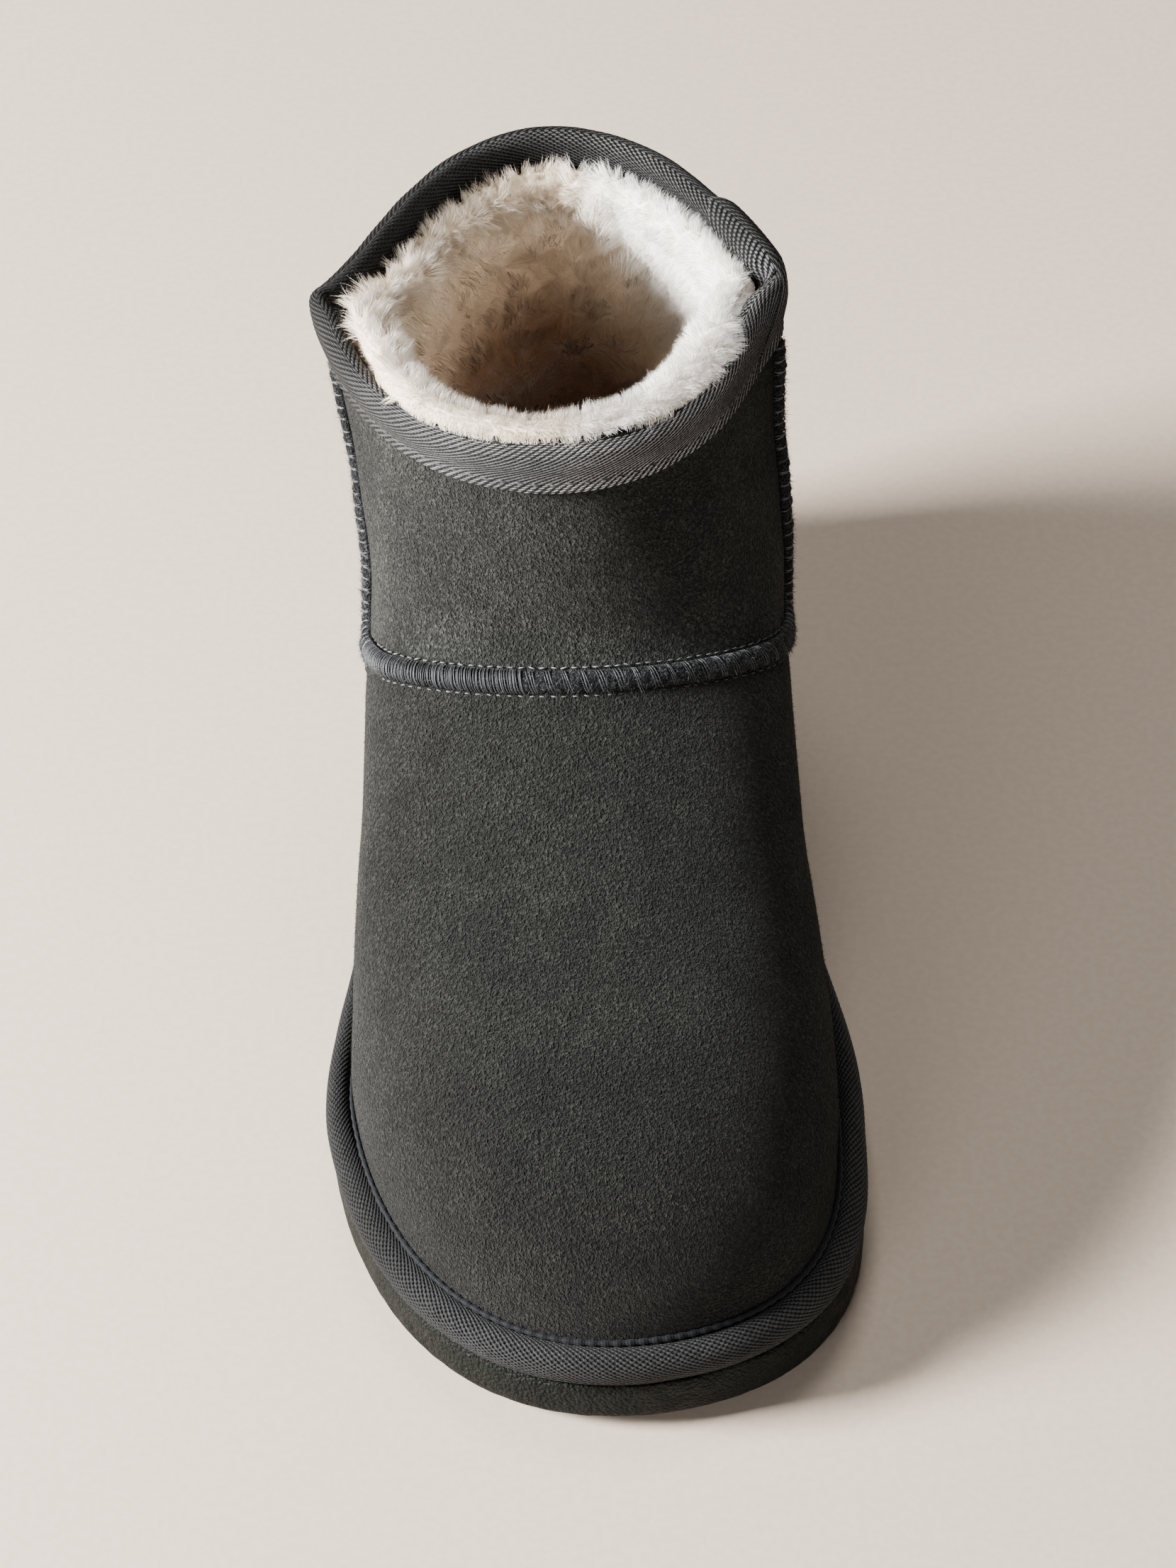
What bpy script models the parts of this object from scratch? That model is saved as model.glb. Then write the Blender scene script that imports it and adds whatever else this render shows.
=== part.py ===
"""Slipper boot for the right foot: a short fur-lined suede boot on a thick sole.

Metres, +Z up.  The toe points along -Y and +X is the inner side of the foot.  The origin is on the
floor under the middle of the boot.  Tables and sizes are in millimetres and MM turns them into metres.
"""
import bpy
import bmesh
import numpy as np

MM = 0.001
COLLECTION = "slipper_boot"
CUTTER_COLLECTION = "slipper_boot_cutters"

# Driving sizes
GAP = 0.3                   # air left between pieces that touch
WALL = 2.2                  # suede and its backing
SIDE_COLUMNS = 25           # facets from heel to toe along each side of a ring
FRAME_X = -0.45             # brings the middle of the boot's width over the origin
FRAME_Y = 1.1               # brings the middle of its length over the origin

# Sole: bed and ground seen from the side
FOREFOOT_SOLE = 13.0        # thickness under the ball of the foot
HEEL_SOLE = 22.0            # thickness under the heel
WEDGE_FROM, WEDGE_TO = -50.0, 110.0
TREAD_FRONT = -92.0         # the sole leaves the floor in front of this line
TREAD_BACK = 118.0
TOE_SPRING = 4.0            # rise of the underside at the tip
BED_SPRING = 2.5            # rise of the bed at the tip
TOE_TIP, HEEL_TIP = -137.0, 134.0
HEEL_LIFT = 1.5
ARCH_FROM, ARCH_TO = 6.0, 62.0
ARCH_RISE = 1.4

# Wall of the boot as tilted rings.  y, z: a ring's heel and front points.  heel, waist, ball: half
# widths.  back_round, toe_round: how square the ends are.  follow: how far the ring keeps to the
# sole's bed.  pinch: how far the side seams push it out.  shift: lean towards the inner side.
# outer: how much fuller the outer side stands in front of its seam.
SECTION_COLUMNS = ("y_back", "z_back", "y_front", "z_front", "heel", "waist", "ball",
                   "back_round", "toe_round", "follow", "pinch", "shift", "outer")
SECTIONS = {
    "bed_edge":     (127.0, 22.4, -129.0, 15.4, 38.0, 41.5, 53.0, 4.6, 5.0, 1.00, 0.0, 0.0, 0.0),
    "rand_top":     (129.0, 33.8, -130.8, 26.4, 39.5, 43.0, 54.0, 4.5, 5.0, 1.00, 0.0, 0.0, 0.0),
    "toe_side":     (130.0, 48.0, -126.5, 40.0, 41.0, 44.5, 54.0, 4.2, 4.5, 0.60, 0.0, 0.0, 0.0),
    "toe_top":      (128.8, 61.0, -113.0, 52.0, 41.5, 46.0, 52.5, 4.0, 3.7, 0.25, 0.0, 0.3, 0.0),
    "vamp_low":     (126.0, 74.0, -90.0, 62.0, 42.0, 46.8, 50.5, 3.7, 3.0, 0.00, 0.0, 0.8, 1.2),
    "vamp_mid":     (122.3, 86.0, -61.0, 72.5, 42.0, 46.4, 48.3, 3.4, 2.7, 0.00, 0.2, 1.5, 1.3),
    "vamp_high":    (118.5, 97.0, -33.0, 84.0, 42.3, 45.8, 46.8, 3.1, 2.5, 0.00, 0.4, 2.3, 0.4),
    "instep":       (115.8, 108.5, -8.5, 97.0, 42.6, 45.4, 45.4, 2.8, 2.4, 0.00, 0.7, 2.8, 2.2),
    "shaft_low":    (114.0, 122.0, 3.5, 116.5, 42.6, 45.2, 44.6, 2.5, 2.3, 0.00, 1.2, 2.8, 5.2),
    "binding_edge": (112.8, 141.3, 7.3, 143.3, 42.2, 45.8, 44.2, 2.1, 1.95, 0.00, 2.4, 0.6, 4.4),
    "collar":       (112.0, 153.5, 8.0, 155.5, 42.0, 46.4, 44.0, 1.9, 2.3, 0.00, 3.2, -0.9, 4.8),
}
TOP_LEVEL = len(SECTIONS) - 1
HALF_WIDTH_STATIONS = (0.15, 0.45, 0.75)    # heel, waist and ball as parts of a ring's length
OUTER_STATIONS, OUTER_SHARES = (0.34, 0.70), (-0.8, 1.0)     # the outer fullness behind and in front
CENTRE_STATIONS = (0.0, 0.42, 0.72, 1.0)
CENTRE_SWING = (2.0, 0.0, 0.0, 4.5)         # bend of the last's centre line towards the inner side
TOE_SKEW = 0.9                              # inner side of the toe fuller, outer side rounder

# Side seam seen from the side: height and place along the foot
SIDE_SEAM = ((22.0, 48.0), (40.0, 38.5), (58.0, 33.5), (75.0, 33.0), (95.0, 38.5), (115.0, 45.5),
             (135.0, 52.0), (156.0, 58.5))
SIDE_SEAM_BULGE = 0.085                     # spread of the pinch along a ring
# Front seam seen from the side: a slanting line from the side seams to the middle of the instep
FRONT_SEAM_SIDE = (32.0, 76.0)
FRONT_SEAM_MIDDLE = (-7.0, 98.5)
SEAM_CORNER_RISE, SEAM_CORNER_TURN = 0.7, 0.20      # where the shaft's seam starts to turn its corner

UPPER_LEVELS = (0.0, 1.0, 2.0, 2.5, 3.0, 4.0, 5.0, 6.0, 6.5, 7.0, 7.5, 8.0, 9.0, 9.35, 10.0)

# Sole's side from the floor up: outwards from the wall's foot, and part of the thickness
SOLE_SIDE = (("tread_edge", 5.2, 0.00), ("lower_round", 6.6, 0.10), ("side_low", 7.0, 0.32),
             ("side_high", 6.8, 0.72), ("bed_rim", 6.3, 1.00))
TREAD_INSET = -9.0
# Flex grooves across the underside: place along the foot and how far they bow forwards
GROOVE_WIDTH, GROOVE_FLOOR, GROOVE_DEPTH, GROOVE_MARGIN = 2.6, 1.8, 1.5, 13.0
GROOVES = (("toe", -82.0, 9.0), ("ball_front", -66.0, 8.0), ("ball", -50.0, 7.0),
           ("ball_back", -34.0, 6.0), ("waist", -18.0, 5.0), ("heel_front", 76.0, -4.0),
           ("heel_back", 96.0, -6.0))

# Rand: a tape-covered roll around the foot of the wall, outwards and upwards from the bed
RAND_RISE = 11.2            # height between the two lowest rings of the wall
RAND_PROFILE = ((0.4, 0.3), (5.7, 0.3), (6.6, 1.7), (6.9, 3.8), (6.6, 6.1), (5.4, 8.3),
                (3.6, 9.7), (1.7, 10.2), (0.4, 9.7))

# Footbed inside the wall
INSOLE_PROFILE = ((-3.9, 0.3), (-3.1, 1.3), (-3.1, 5.0), (-4.3, 6.2))

# Folded tape around the collar
TAPE = 1.3
TAPE_OUTER_LEVELS = (9.0, 9.35, 10.0)
TAPE_INNER_LEVEL = 9.35     # foot of the fold's inner leg
TAPE_INNER_GAP = 0.6
CREST_TURNS = (50.0, 90.0, 130.0)           # corners of its round crest, in degrees
LAP_TAPE = 0.9
LAP_GAP = 0.5
LAP_START, LAP_LENGTH = 3.0, 15.0           # behind the inner side seam, along the collar

# Raised overlocked seams: (across, up) half sections from base to crown
SEAM_SECTION = ((-2.6, 0.0), (-2.5, 0.9), (-1.5, 2.0), (0.0, 2.4), (1.5, 2.0), (2.5, 0.9), (2.6, 0.0))
SEAM_BASE = 0.8             # base of a seam above the wall's true surface
SEAM_LOW, SEAM_HIGH = 1.0, 8.93

# Heel stay: level and half width measured around the heel
STAY = 1.3
STAY_BASE = 0.75
STAY_WIDTHS = ((0.95, 36.0), (2.0, 31.0), (3.0, 24.0), (4.0, 17.5), (5.0, 13.0), (6.0, 10.5),
               (7.0, 9.0), (8.0, 8.2), (8.96, 8.0))
STAY_LEVELS = (0.95, 2.0, 3.0, 4.0, 5.0, 6.0, 7.0, 7.5, 8.0, 8.96)
STAY_COLUMNS = 12

# Fur: thickness of the pile by level, and how far its rim lies below the collar
PILE = ((0.0, 8.5), (3.0, 8.5), (6.0, 10.0), (8.5, 12.0), (10.0, 12.5))
FUR_FOOT = 0.78
FUR_SLACK = 0.2             # further air behind the pile, for the facets of the wall
FUR_BACK_LEVELS = (2.0, 3.0, 4.0, 5.0, 6.0, 6.5, 7.0, 7.5, 8.0, 9.0)
FUR_FACE_LEVELS = (8.2, 7.5, 6.5, 5.5, 4.5, 3.5, 2.2)
FUR_DROP_FRONT, FUR_DROP_BACK = 1.5, 9.5
FUR_STEP = (9.20, 9.26)     # where its back steps in behind the folded tape
FUR_CROWN = ((0.28, 3.0), (0.55, 4.0), (0.82, 2.6))     # across the pile, and rise above the rim
FUR_BROW = (0.25, 0.62)     # levels below the rim where the crown turns into the inner face
LOCK_ROWS = 6
LOCK_HEIGHT = 2.1
LOCK_LEAN = 0.35
LOCK_SEED = 7

SUEDE = (0.052, 0.050, 0.046)
TWILL = (0.085, 0.085, 0.088)
THREAD = (0.060, 0.066, 0.076)
COLOURS = {
    "outsole": ((0.040, 0.040, 0.032), 0.75),
    "rand": (TWILL, 0.85),
    "insole": ((0.62, 0.53, 0.40), 0.95),
    "upper": (SUEDE, 0.95),
    "shaft_seam": (THREAD, 0.90),
    "quarter_seam_inner": (THREAD, 0.90),
    "quarter_seam_outer": (THREAD, 0.90),
    "heel_stay": (SUEDE, 0.95),
    "collar_binding": (TWILL, 0.85),
    "binding_lap": (TWILL, 0.85),
    "fur_lining": ((0.72, 0.66, 0.55), 0.95),
}


# ---------------------------------------------------------------- the last: wall, bed and ground

def smooth(x):
    x = np.clip(x, 0.0, 1.0)
    return x * x * (3.0 - 2.0 * x)


def blend_stations(x, stations, values):
    """Value at x, eased from each station to the next."""
    result = np.zeros_like(x) + values[0]
    for start, end, low, high in zip(stations, stations[1:], values, values[1:]):
        result = result + (high - low) * smooth((x - start) / (end - start))
    return result


def bed(y):
    """Height of the sole's upper face."""
    wedge = smooth((y - WEDGE_FROM) / (WEDGE_TO - WEDGE_FROM))
    spring = np.clip((TREAD_FRONT - y) / (TREAD_FRONT - TOE_TIP), 0.0, None) ** 2
    return FOREFOOT_SOLE + (HEEL_SOLE - FOREFOOT_SOLE) * wedge + BED_SPRING * spring


def ground(y):
    """Height of the sole's underside: flat under ball and heel, raised at tip, arch and back edge."""
    spring = np.clip((TREAD_FRONT - y) / (TREAD_FRONT - TOE_TIP), 0.0, None) ** 2
    lift = np.clip((y - TREAD_BACK) / (HEEL_TIP - TREAD_BACK), 0.0, None) ** 2
    arch = np.sin(np.pi * np.clip((y - ARCH_FROM) / (ARCH_TO - ARCH_FROM), 0.0, 1.0)) ** 2
    return TOE_SPRING * spring + HEEL_LIFT * lift + ARCH_RISE * arch


def section(level):
    """Every column of SECTIONS at a level between its rows, on a smooth curve through them."""
    rows = np.array(list(SECTIONS.values()))
    rows = np.vstack([2.0 * rows[0] - rows[1], rows, 2.0 * rows[-1] - rows[-2]])
    level = np.clip(level, 0.0, TOP_LEVEL)
    row = np.minimum(level.astype(int), TOP_LEVEL - 1)
    s = (level - row)[..., None]
    before, low, high, after = rows[row], rows[row + 1], rows[row + 2], rows[row + 3]
    cubic = (2.0 * before - 5.0 * low + 4.0 * high - after) * s ** 2
    quartic = (3.0 * low - before - 3.0 * high + after) * s ** 3
    curve = 0.5 * (2.0 * low + (high - before) * s + cubic + quartic)
    return dict(zip(SECTION_COLUMNS, np.moveaxis(curve, -1, 0)))


def last_surface(level, angle):
    """Outer face of the wall.  angle runs round a ring: 0 at the heel, pi at the toe."""
    level, angle = np.broadcast_arrays(np.asarray(level, float), np.asarray(angle, float))
    ring = section(level)
    along = (1.0 - np.cos(angle)) / 2.0
    inner = np.sign(np.sin(angle))
    length = ring["y_back"] - ring["y_front"]
    y = ring["y_back"] - length * along
    half = blend_stations(along, HALF_WIDTH_STATIONS, (ring["heel"], ring["waist"], ring["ball"]))
    skew = TOE_SKEW * inner * np.clip((ring["toe_round"] - 2.2) / 2.8, 0.0, 1.0)
    squareness = np.where(along < 0.5, ring["back_round"], ring["toe_round"] + skew)
    closing = np.sqrt(np.clip(1.0 - np.abs(2.0 * along - 1.0) ** squareness, 0.0, 1.0))
    z_line = ring["z_back"] + (ring["z_front"] - ring["z_back"]) * along
    bed_line = bed(ring["y_back"]) + (bed(ring["y_front"]) - bed(ring["y_back"])) * along
    z = z_line + ring["follow"] * (bed(y) - bed_line)
    seam_y = np.interp(z, *zip(*SIDE_SEAM))
    from_seam = (y - seam_y) / (length * SIDE_SEAM_BULGE)
    bulge = ring["pinch"] * np.exp(-from_seam ** 2)
    swing = blend_stations(along, CENTRE_STATIONS, CENTRE_SWING) * (1.0 - level / TOP_LEVEL)
    fuller = ring["outer"] * blend_stations(along, OUTER_STATIONS, OUTER_SHARES) * closing
    x = swing + ring["shift"] + inner * (half * closing + bulge + np.where(inner < 0, fuller, 0.0))
    return np.stack([x + FRAME_X, y + FRAME_Y, z], axis=-1)


def wall_directions(level, angle):
    """Unit vectors on the wall: outwards, and up along it."""
    step = 0.02
    up = last_surface(np.clip(level + step, 0, TOP_LEVEL), angle)
    up = up - last_surface(np.clip(level - step, 0, TOP_LEVEL), angle)
    along = last_surface(level, angle + step) - last_surface(level, angle - step)
    out = np.cross(up, along)
    out /= np.linalg.norm(out, axis=-1, keepdims=True)
    return out, up / np.linalg.norm(up, axis=-1, keepdims=True)


def wall(level, angle, out=0.0, lift=0.0):
    """Point `out` outwards from the wall and `lift` further up along it."""
    level, angle = np.broadcast_arrays(np.asarray(level, float), np.asarray(angle, float))
    outwards, upwards = wall_directions(level, angle)
    out = np.asarray(out, float)[..., None]
    lift = np.asarray(lift, float)[..., None]
    return last_surface(level, angle) + out * outwards + lift * upwards


def foot_line(level, angle, out, height):
    """Point level with the sole: `out` from the wall in plan, with its height given by a function."""
    outwards = wall_directions(level, angle)[0]
    flat = outwards * np.array([1.0, 1.0, 0.0])
    flat /= np.linalg.norm(flat, axis=-1, keepdims=True)
    points = last_surface(level, angle) + out * flat
    points[..., 2] = height(points[..., 1] - FRAME_Y)
    return points


def around():
    """Angles of one ring's columns, from the heel along the inner side and back."""
    columns = 2 * SIDE_COLUMNS
    return 2.0 * np.pi * np.arange(columns) / columns


def angle_at_distance(level, distance):
    """Angle on a ring at a distance from the heel, measured along it (negative: outer side)."""
    angles = np.linspace(-np.pi, np.pi, 721)
    ring = last_surface(np.full(angles.shape, level), angles)
    steps = np.linalg.norm(np.diff(ring, axis=0), axis=1)
    walked = np.concatenate([[0.0], np.cumsum(steps)])
    walked -= np.interp(0.0, angles, walked)
    return np.interp(distance, walked, angles)


def side_seam_angle(level):
    """Angle at which a side seam crosses a ring."""
    angles = np.linspace(0.6, 2.6, 241)
    ring = last_surface(np.full(angles.shape, level), angles)
    behind = ring[:, 1] - FRAME_Y - np.interp(ring[:, 2], *zip(*SIDE_SEAM))
    return np.interp(0.0, -behind, angles)


def front_seam_level(angle):
    """Level at which the front seam's slanting line crosses the wall at an angle."""
    levels = np.linspace(2.5, 8.5, 241)
    line = last_surface(levels, np.full(levels.shape, angle))
    (side_y, side_z), (middle_y, middle_z) = FRONT_SEAM_SIDE, FRONT_SEAM_MIDDLE
    part = (side_y - (line[:, 1] - FRAME_Y)) / (side_y - middle_y)
    above = line[:, 2] - (side_z + (middle_z - side_z) * part)
    return np.interp(0.0, above, levels)


# ---------------------------------------------------------------- meshes, objects and materials

def make_collection(name):
    collection = bpy.data.collections.new(name)
    bpy.context.scene.collection.children.link(collection)
    return collection


def make_material(name, colour, roughness):
    material = bpy.data.materials.new(name)
    material.use_nodes = True
    shader = material.node_tree.nodes["Principled BSDF"]
    shader.inputs["Base Color"].default_value = (*colour, 1.0)
    shader.inputs["Roughness"].default_value = roughness
    shader.inputs["Metallic"].default_value = 0.0
    return material


def place(name, bm, collection, sharp=35.0):
    """Finish a bmesh as a smooth-shaded object in a collection."""
    bmesh.ops.recalc_face_normals(bm, faces=bm.faces)
    mesh = bpy.data.meshes.new(name)
    bm.to_mesh(mesh)
    bm.free()
    mesh.shade_smooth()
    mesh.set_sharp_from_angle(angle=np.radians(sharp))
    piece = bpy.data.objects.new(name, mesh)
    collection.objects.link(piece)
    return piece


def loft(rows, ring=True, loop=False):
    """Bmesh skinned over rows of points.  ring closes each row, loop joins the last row to the first."""
    bm = bmesh.new()
    verts = [[bm.verts.new(point * MM) for point in row] for row in rows]
    row_pairs = list(zip(verts, verts[1:]))
    if loop:
        row_pairs.append((verts[-1], verts[0]))
    for low, high in row_pairs:
        count = len(low)
        last = count if ring else count - 1
        for column in range(last):
            beside = (column + 1) % count
            bm.faces.new((low[column], low[beside], high[beside], high[column]))
    return bm, verts


def cap_across(bm, row):
    """Close a ring with strips from its inner to its outer side, so the cap follows the bed's curve."""
    count = len(row)
    for column in range(count // 2):
        corners = [row[column], row[column + 1], row[-column - 1], row[-column]]
        unique = list(dict.fromkeys(corners))
        bm.faces.new(unique)


def solidify(piece, thickness, offset):
    modifier = piece.modifiers.new("thickness", "SOLIDIFY")
    modifier.thickness = thickness * MM
    modifier.offset = offset
    modifier.use_even_offset = False


# ---------------------------------------------------------------- the boot's pieces

def make_outsole(collection, cutters):
    angles = around()
    foot = np.zeros_like(angles)
    rows = [foot_line(foot, angles, TREAD_INSET, ground)]
    for _, out, part in SOLE_SIDE:
        rows.append(foot_line(foot, angles, out, lambda y, p=part: ground(y) + p * (bed(y) - ground(y))))
    bm, verts = loft(rows)
    cap_across(bm, verts[0])
    cap_across(bm, verts[-1])
    sole = place("outsole", bm, collection)
    for name, y, bow in GROOVES:
        cut_groove(sole, name, y, bow, cutters)
    return sole


def cut_groove(sole, name, y, bow, cutters):
    """One shallow groove across the tread, bowed forwards, stopping short of the sole's edge."""
    angles = np.linspace(0.0, np.pi, 181)
    edge = foot_line(np.zeros_like(angles), angles, 0.0, ground)
    outer = foot_line(np.zeros_like(angles), -angles, 0.0, ground)
    inner_x = np.interp(-y, -(edge[:, 1] - FRAME_Y), edge[:, 0]) - GROOVE_MARGIN
    outer_x = np.interp(-y, -(outer[:, 1] - FRAME_Y), outer[:, 0]) + GROOVE_MARGIN
    rows = []
    mouth, floor = GROOVE_WIDTH / 2.0, GROOVE_FLOOR / 2.0
    for part in np.linspace(-1.0, 1.0, 9):
        x = (inner_x + outer_x) / 2.0 + part * (inner_x - outer_x) / 2.0
        middle = y + FRAME_Y - bow * (1.0 - part ** 2)
        rows.append(np.array([(x, middle - mouth, -1.0), (x, middle + mouth, -1.0),
                              (x, middle + floor, GROOVE_DEPTH), (x, middle - floor, GROOVE_DEPTH)]))
    bm, verts = loft(rows)
    bm.faces.new(verts[0])
    bm.faces.new(verts[-1])
    cutter = place("groove_" + name, bm, cutters)
    cutter.hide_render = True
    cutter.display_type = "WIRE"
    cut = sole.modifiers.new(cutter.name, "BOOLEAN")
    cut.object = cutter
    cut.operation = "DIFFERENCE"
    cut.solver = "EXACT"


def make_rand(collection):
    angles = around()
    rows = []
    for out, up in RAND_PROFILE:
        level = np.full(angles.shape, up / RAND_RISE)
        rows.append(foot_line(level, angles, out, lambda y, u=up: bed(y) + u))
    bm, _ = loft(rows, loop=True)
    return place("rand", bm, collection)


def make_insole(collection):
    angles = around()
    rows = []
    for out, up in INSOLE_PROFILE:
        level = np.full(angles.shape, up / RAND_RISE)
        rows.append(foot_line(level, angles, out, lambda y, u=up: bed(y) + u))
    bm, verts = loft(rows)
    cap_across(bm, verts[0])
    cap_across(bm, verts[-1])
    return place("insole", bm, collection)


def make_upper(collection):
    """The whole suede wall, open at the collar and underneath."""
    bm, _ = loft([wall(level, around()) for level in UPPER_LEVELS])
    upper = place("upper", bm, collection)
    solidify(upper, WALL, -1.0)
    return upper


def outer_tape_rows(angles, raised=0.0):
    """Middle of the tape's outer leg and of its round crest over the wall's edge."""
    reach = TAPE / 2.0 + GAP
    radius = WALL / 2.0 + reach
    rows = [wall(level, angles, reach + raised) for level in TAPE_OUTER_LEVELS]
    for turn in np.radians(CREST_TURNS):
        out = -WALL / 2.0 + (radius + raised) * np.cos(turn)
        rows.append(wall(10.0, angles, out, (radius + raised) * np.sin(turn)))
    return rows


def make_collar_binding(collection):
    """Tape folded over the wall's edge, with legs down its outer and inner faces."""
    rows = outer_tape_rows(around())
    inner = -(WALL + TAPE / 2.0 + TAPE_INNER_GAP)
    rows.extend(wall(level, around(), inner) for level in (10.0, TAPE_INNER_LEVEL))
    bm, _ = loft(rows)
    binding = place("collar_binding", bm, collection)
    solidify(binding, TAPE, 0.0)
    return binding


def make_binding_lap(collection):
    """End of the tape folded over its start, just behind the inner side seam."""
    seam = side_seam_angle(9.5)
    ring = last_surface(np.full(2, 9.5), np.array([seam, seam - 0.1]))
    per_radian = np.linalg.norm(ring[0] - ring[1]) / 0.1
    start = seam - LAP_START / per_radian
    angles = start - np.linspace(0.0, LAP_LENGTH / per_radian, 5)
    raised = TAPE / 2.0 + LAP_GAP + LAP_TAPE / 2.0
    bm, _ = loft(outer_tape_rows(angles, raised), ring=False)
    lap = place("binding_lap", bm, collection)
    solidify(lap, LAP_TAPE, 0.0)
    return lap


def seam_solid(name, levels, angles, collection):
    """Raised seam along a path on the wall: its flat base on the wall, its crown rounded."""
    centre = wall(levels, angles, SEAM_BASE)
    outwards = wall_directions(levels, angles)[0]
    tangent = np.gradient(centre, axis=0)
    across = np.cross(tangent, outwards)
    across /= np.linalg.norm(across, axis=-1, keepdims=True)
    rows = []
    for point, side, normal in zip(centre, across, outwards):
        rows.append(np.array([point + a * side + up * normal for a, up in SEAM_SECTION]))
    bm, verts = loft(rows)
    bm.faces.new(verts[0])
    bm.faces.new(verts[-1])
    return place(name, bm, collection)


def seam_corner():
    """Level and angle at which the front seam's line meets the side seam."""
    levels = np.linspace(3.0, 6.5, 351)
    ahead = [front_seam_level(side_seam_angle(level)) - level for level in levels]
    level = np.interp(0.0, -np.array(ahead), levels)
    return level, side_seam_angle(level)


def shaft_seam_path():
    """Levels and angles down the inner side, round a corner and forwards to the middle of the instep."""
    level, angle = seam_corner()
    start = np.array([level + SEAM_CORNER_RISE, side_seam_angle(level + SEAM_CORNER_RISE)])
    end = np.array([front_seam_level(angle + SEAM_CORNER_TURN), angle + SEAM_CORNER_TURN])
    turn = np.linspace(0.0, 1.0, 6)[:, None]
    corner = (1 - turn) ** 2 * start + 2 * turn * (1 - turn) * np.array([level, angle]) + turn ** 2 * end
    down = [(high, side_seam_angle(high)) for high in np.linspace(SEAM_HIGH, start[0], 12)[:-1]]
    forwards = [(front_seam_level(turned), turned) for turned in np.linspace(end[1], np.pi, 11)[1:]]
    return np.concatenate([down, corner, forwards])


def make_shaft_seam(collection):
    """One raised seam: down one side of the shaft's front, across the instep and up the other side."""
    inner = shaft_seam_path()
    outer = inner[-2::-1] * (1.0, -1.0) + (0.0, 2.0 * np.pi)
    levels, angles = np.concatenate([inner, outer]).T
    return seam_solid("shaft_seam", levels, angles, collection)


def make_quarter_seam(name, side, collection):
    """From the shaft seam's corner back and down to the rand.  side: 1 inner side, -1 outer side."""
    shaft_seam = wall(*shaft_seam_path().T)
    clear = SEAM_SECTION[-1][0] + GAP
    for top in np.arange(seam_corner()[0], SEAM_LOW, -0.02):
        end = wall(top, side_seam_angle(top))
        if np.linalg.norm(shaft_seam - end, axis=1).min() > clear:
            break
    levels = np.linspace(top, SEAM_LOW, 12)
    angles = np.array([side_seam_angle(level) for level in levels])
    return seam_solid(name, levels, side * angles, collection)


def make_heel_stay(collection):
    rows = []
    for level in STAY_LEVELS:
        half = np.interp(level, *zip(*STAY_WIDTHS))
        distances = np.linspace(-half, half, STAY_COLUMNS + 1)
        rows.append(wall(level, angle_at_distance(level, distances), STAY_BASE))
    bm, _ = loft(rows, ring=False)
    stay = place("heel_stay", bm, collection)
    solidify(stay, STAY, 1.0)
    return stay


def fur_rim_level(angle):
    """Level of the fur's rim: near the collar's edge in front, lower at the back."""
    back = ((1.0 + np.cos(angle)) / 2.0) ** 1.3
    drop = FUR_DROP_FRONT + (FUR_DROP_BACK - FUR_DROP_FRONT) * back
    band = SECTIONS["collar"][1] - SECTIONS["binding_edge"][1]
    return TOP_LEVEL - drop / band


def make_fur_lining(collection):
    """Deep pile inside the whole wall, with locks standing up from its rim and its upper face."""
    angles = around()
    behind_wall = -(WALL + GAP + FUR_SLACK)
    behind_tape = -(WALL + TAPE_INNER_GAP + TAPE + GAP + FUR_SLACK)
    rim = fur_rim_level(angles)
    rows = [wall(FUR_FOOT, angles, behind_wall - GAP)]
    rows.extend(wall(level, angles, behind_wall) for level in FUR_BACK_LEVELS)
    rows.append(wall(FUR_STEP[0], angles, behind_wall))
    rows.append(wall(FUR_STEP[1], angles, behind_tape))
    rows.append(wall(rim, angles, behind_tape))
    crown = len(rows)
    depth = np.interp(rim, *zip(*PILE))
    for part, rise in FUR_CROWN:
        rows.append(wall(rim, angles, behind_tape - part * depth, rise))
    face_levels = [rim - drop for drop in FUR_BROW] + list(FUR_FACE_LEVELS) + [FUR_FOOT]
    for level in face_levels:
        backing = behind_wall + (behind_tape - behind_wall) * smooth((level - 8.2) / 1.0)
        rows.append(wall(level, angles, backing - np.interp(level, *zip(*PILE))))
    bm, verts = loft(rows, loop=True)
    raise_locks(bm, verts[crown:crown + LOCK_ROWS])
    return place("fur_lining", bm, collection)


def raise_locks(bm, rows):
    """Draw each facet between these rows out into a pointed lock that stays part of the pile."""
    random = np.random.default_rng(LOCK_SEED)
    bmesh.ops.recalc_face_normals(bm, faces=bm.faces)
    chosen = {vert for row in rows for vert in row}
    faces = [face for face in bm.faces if chosen.issuperset(face.verts)]
    for face in faces:
        height = LOCK_HEIGHT * random.uniform(0.55, 1.25) * MM
        tip = face.calc_center_median() + face.normal * height
        tip.z += LOCK_LEAN * height
        lock = bmesh.ops.poke(bm, faces=[face])["verts"][0]
        lock.co = tip


def build():
    for old in list(bpy.data.objects):
        bpy.data.objects.remove(old, do_unlink=True)
    boot = make_collection(COLLECTION)
    cutters = make_collection(CUTTER_COLLECTION)
    pieces = [
        make_outsole(boot, cutters),
        make_rand(boot),
        make_insole(boot),
        make_upper(boot),
        make_shaft_seam(boot),
        make_quarter_seam("quarter_seam_inner", 1.0, boot),
        make_quarter_seam("quarter_seam_outer", -1.0, boot),
        make_heel_stay(boot),
        make_collar_binding(boot),
        make_binding_lap(boot),
        make_fur_lining(boot),
    ]
    frame = bpy.data.objects.new("boot_frame", None)
    boot.objects.link(frame)
    for piece in pieces:
        piece.parent = frame
        piece.data.materials.append(make_material(piece.name, *COLOURS[piece.name]))


build()
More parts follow.
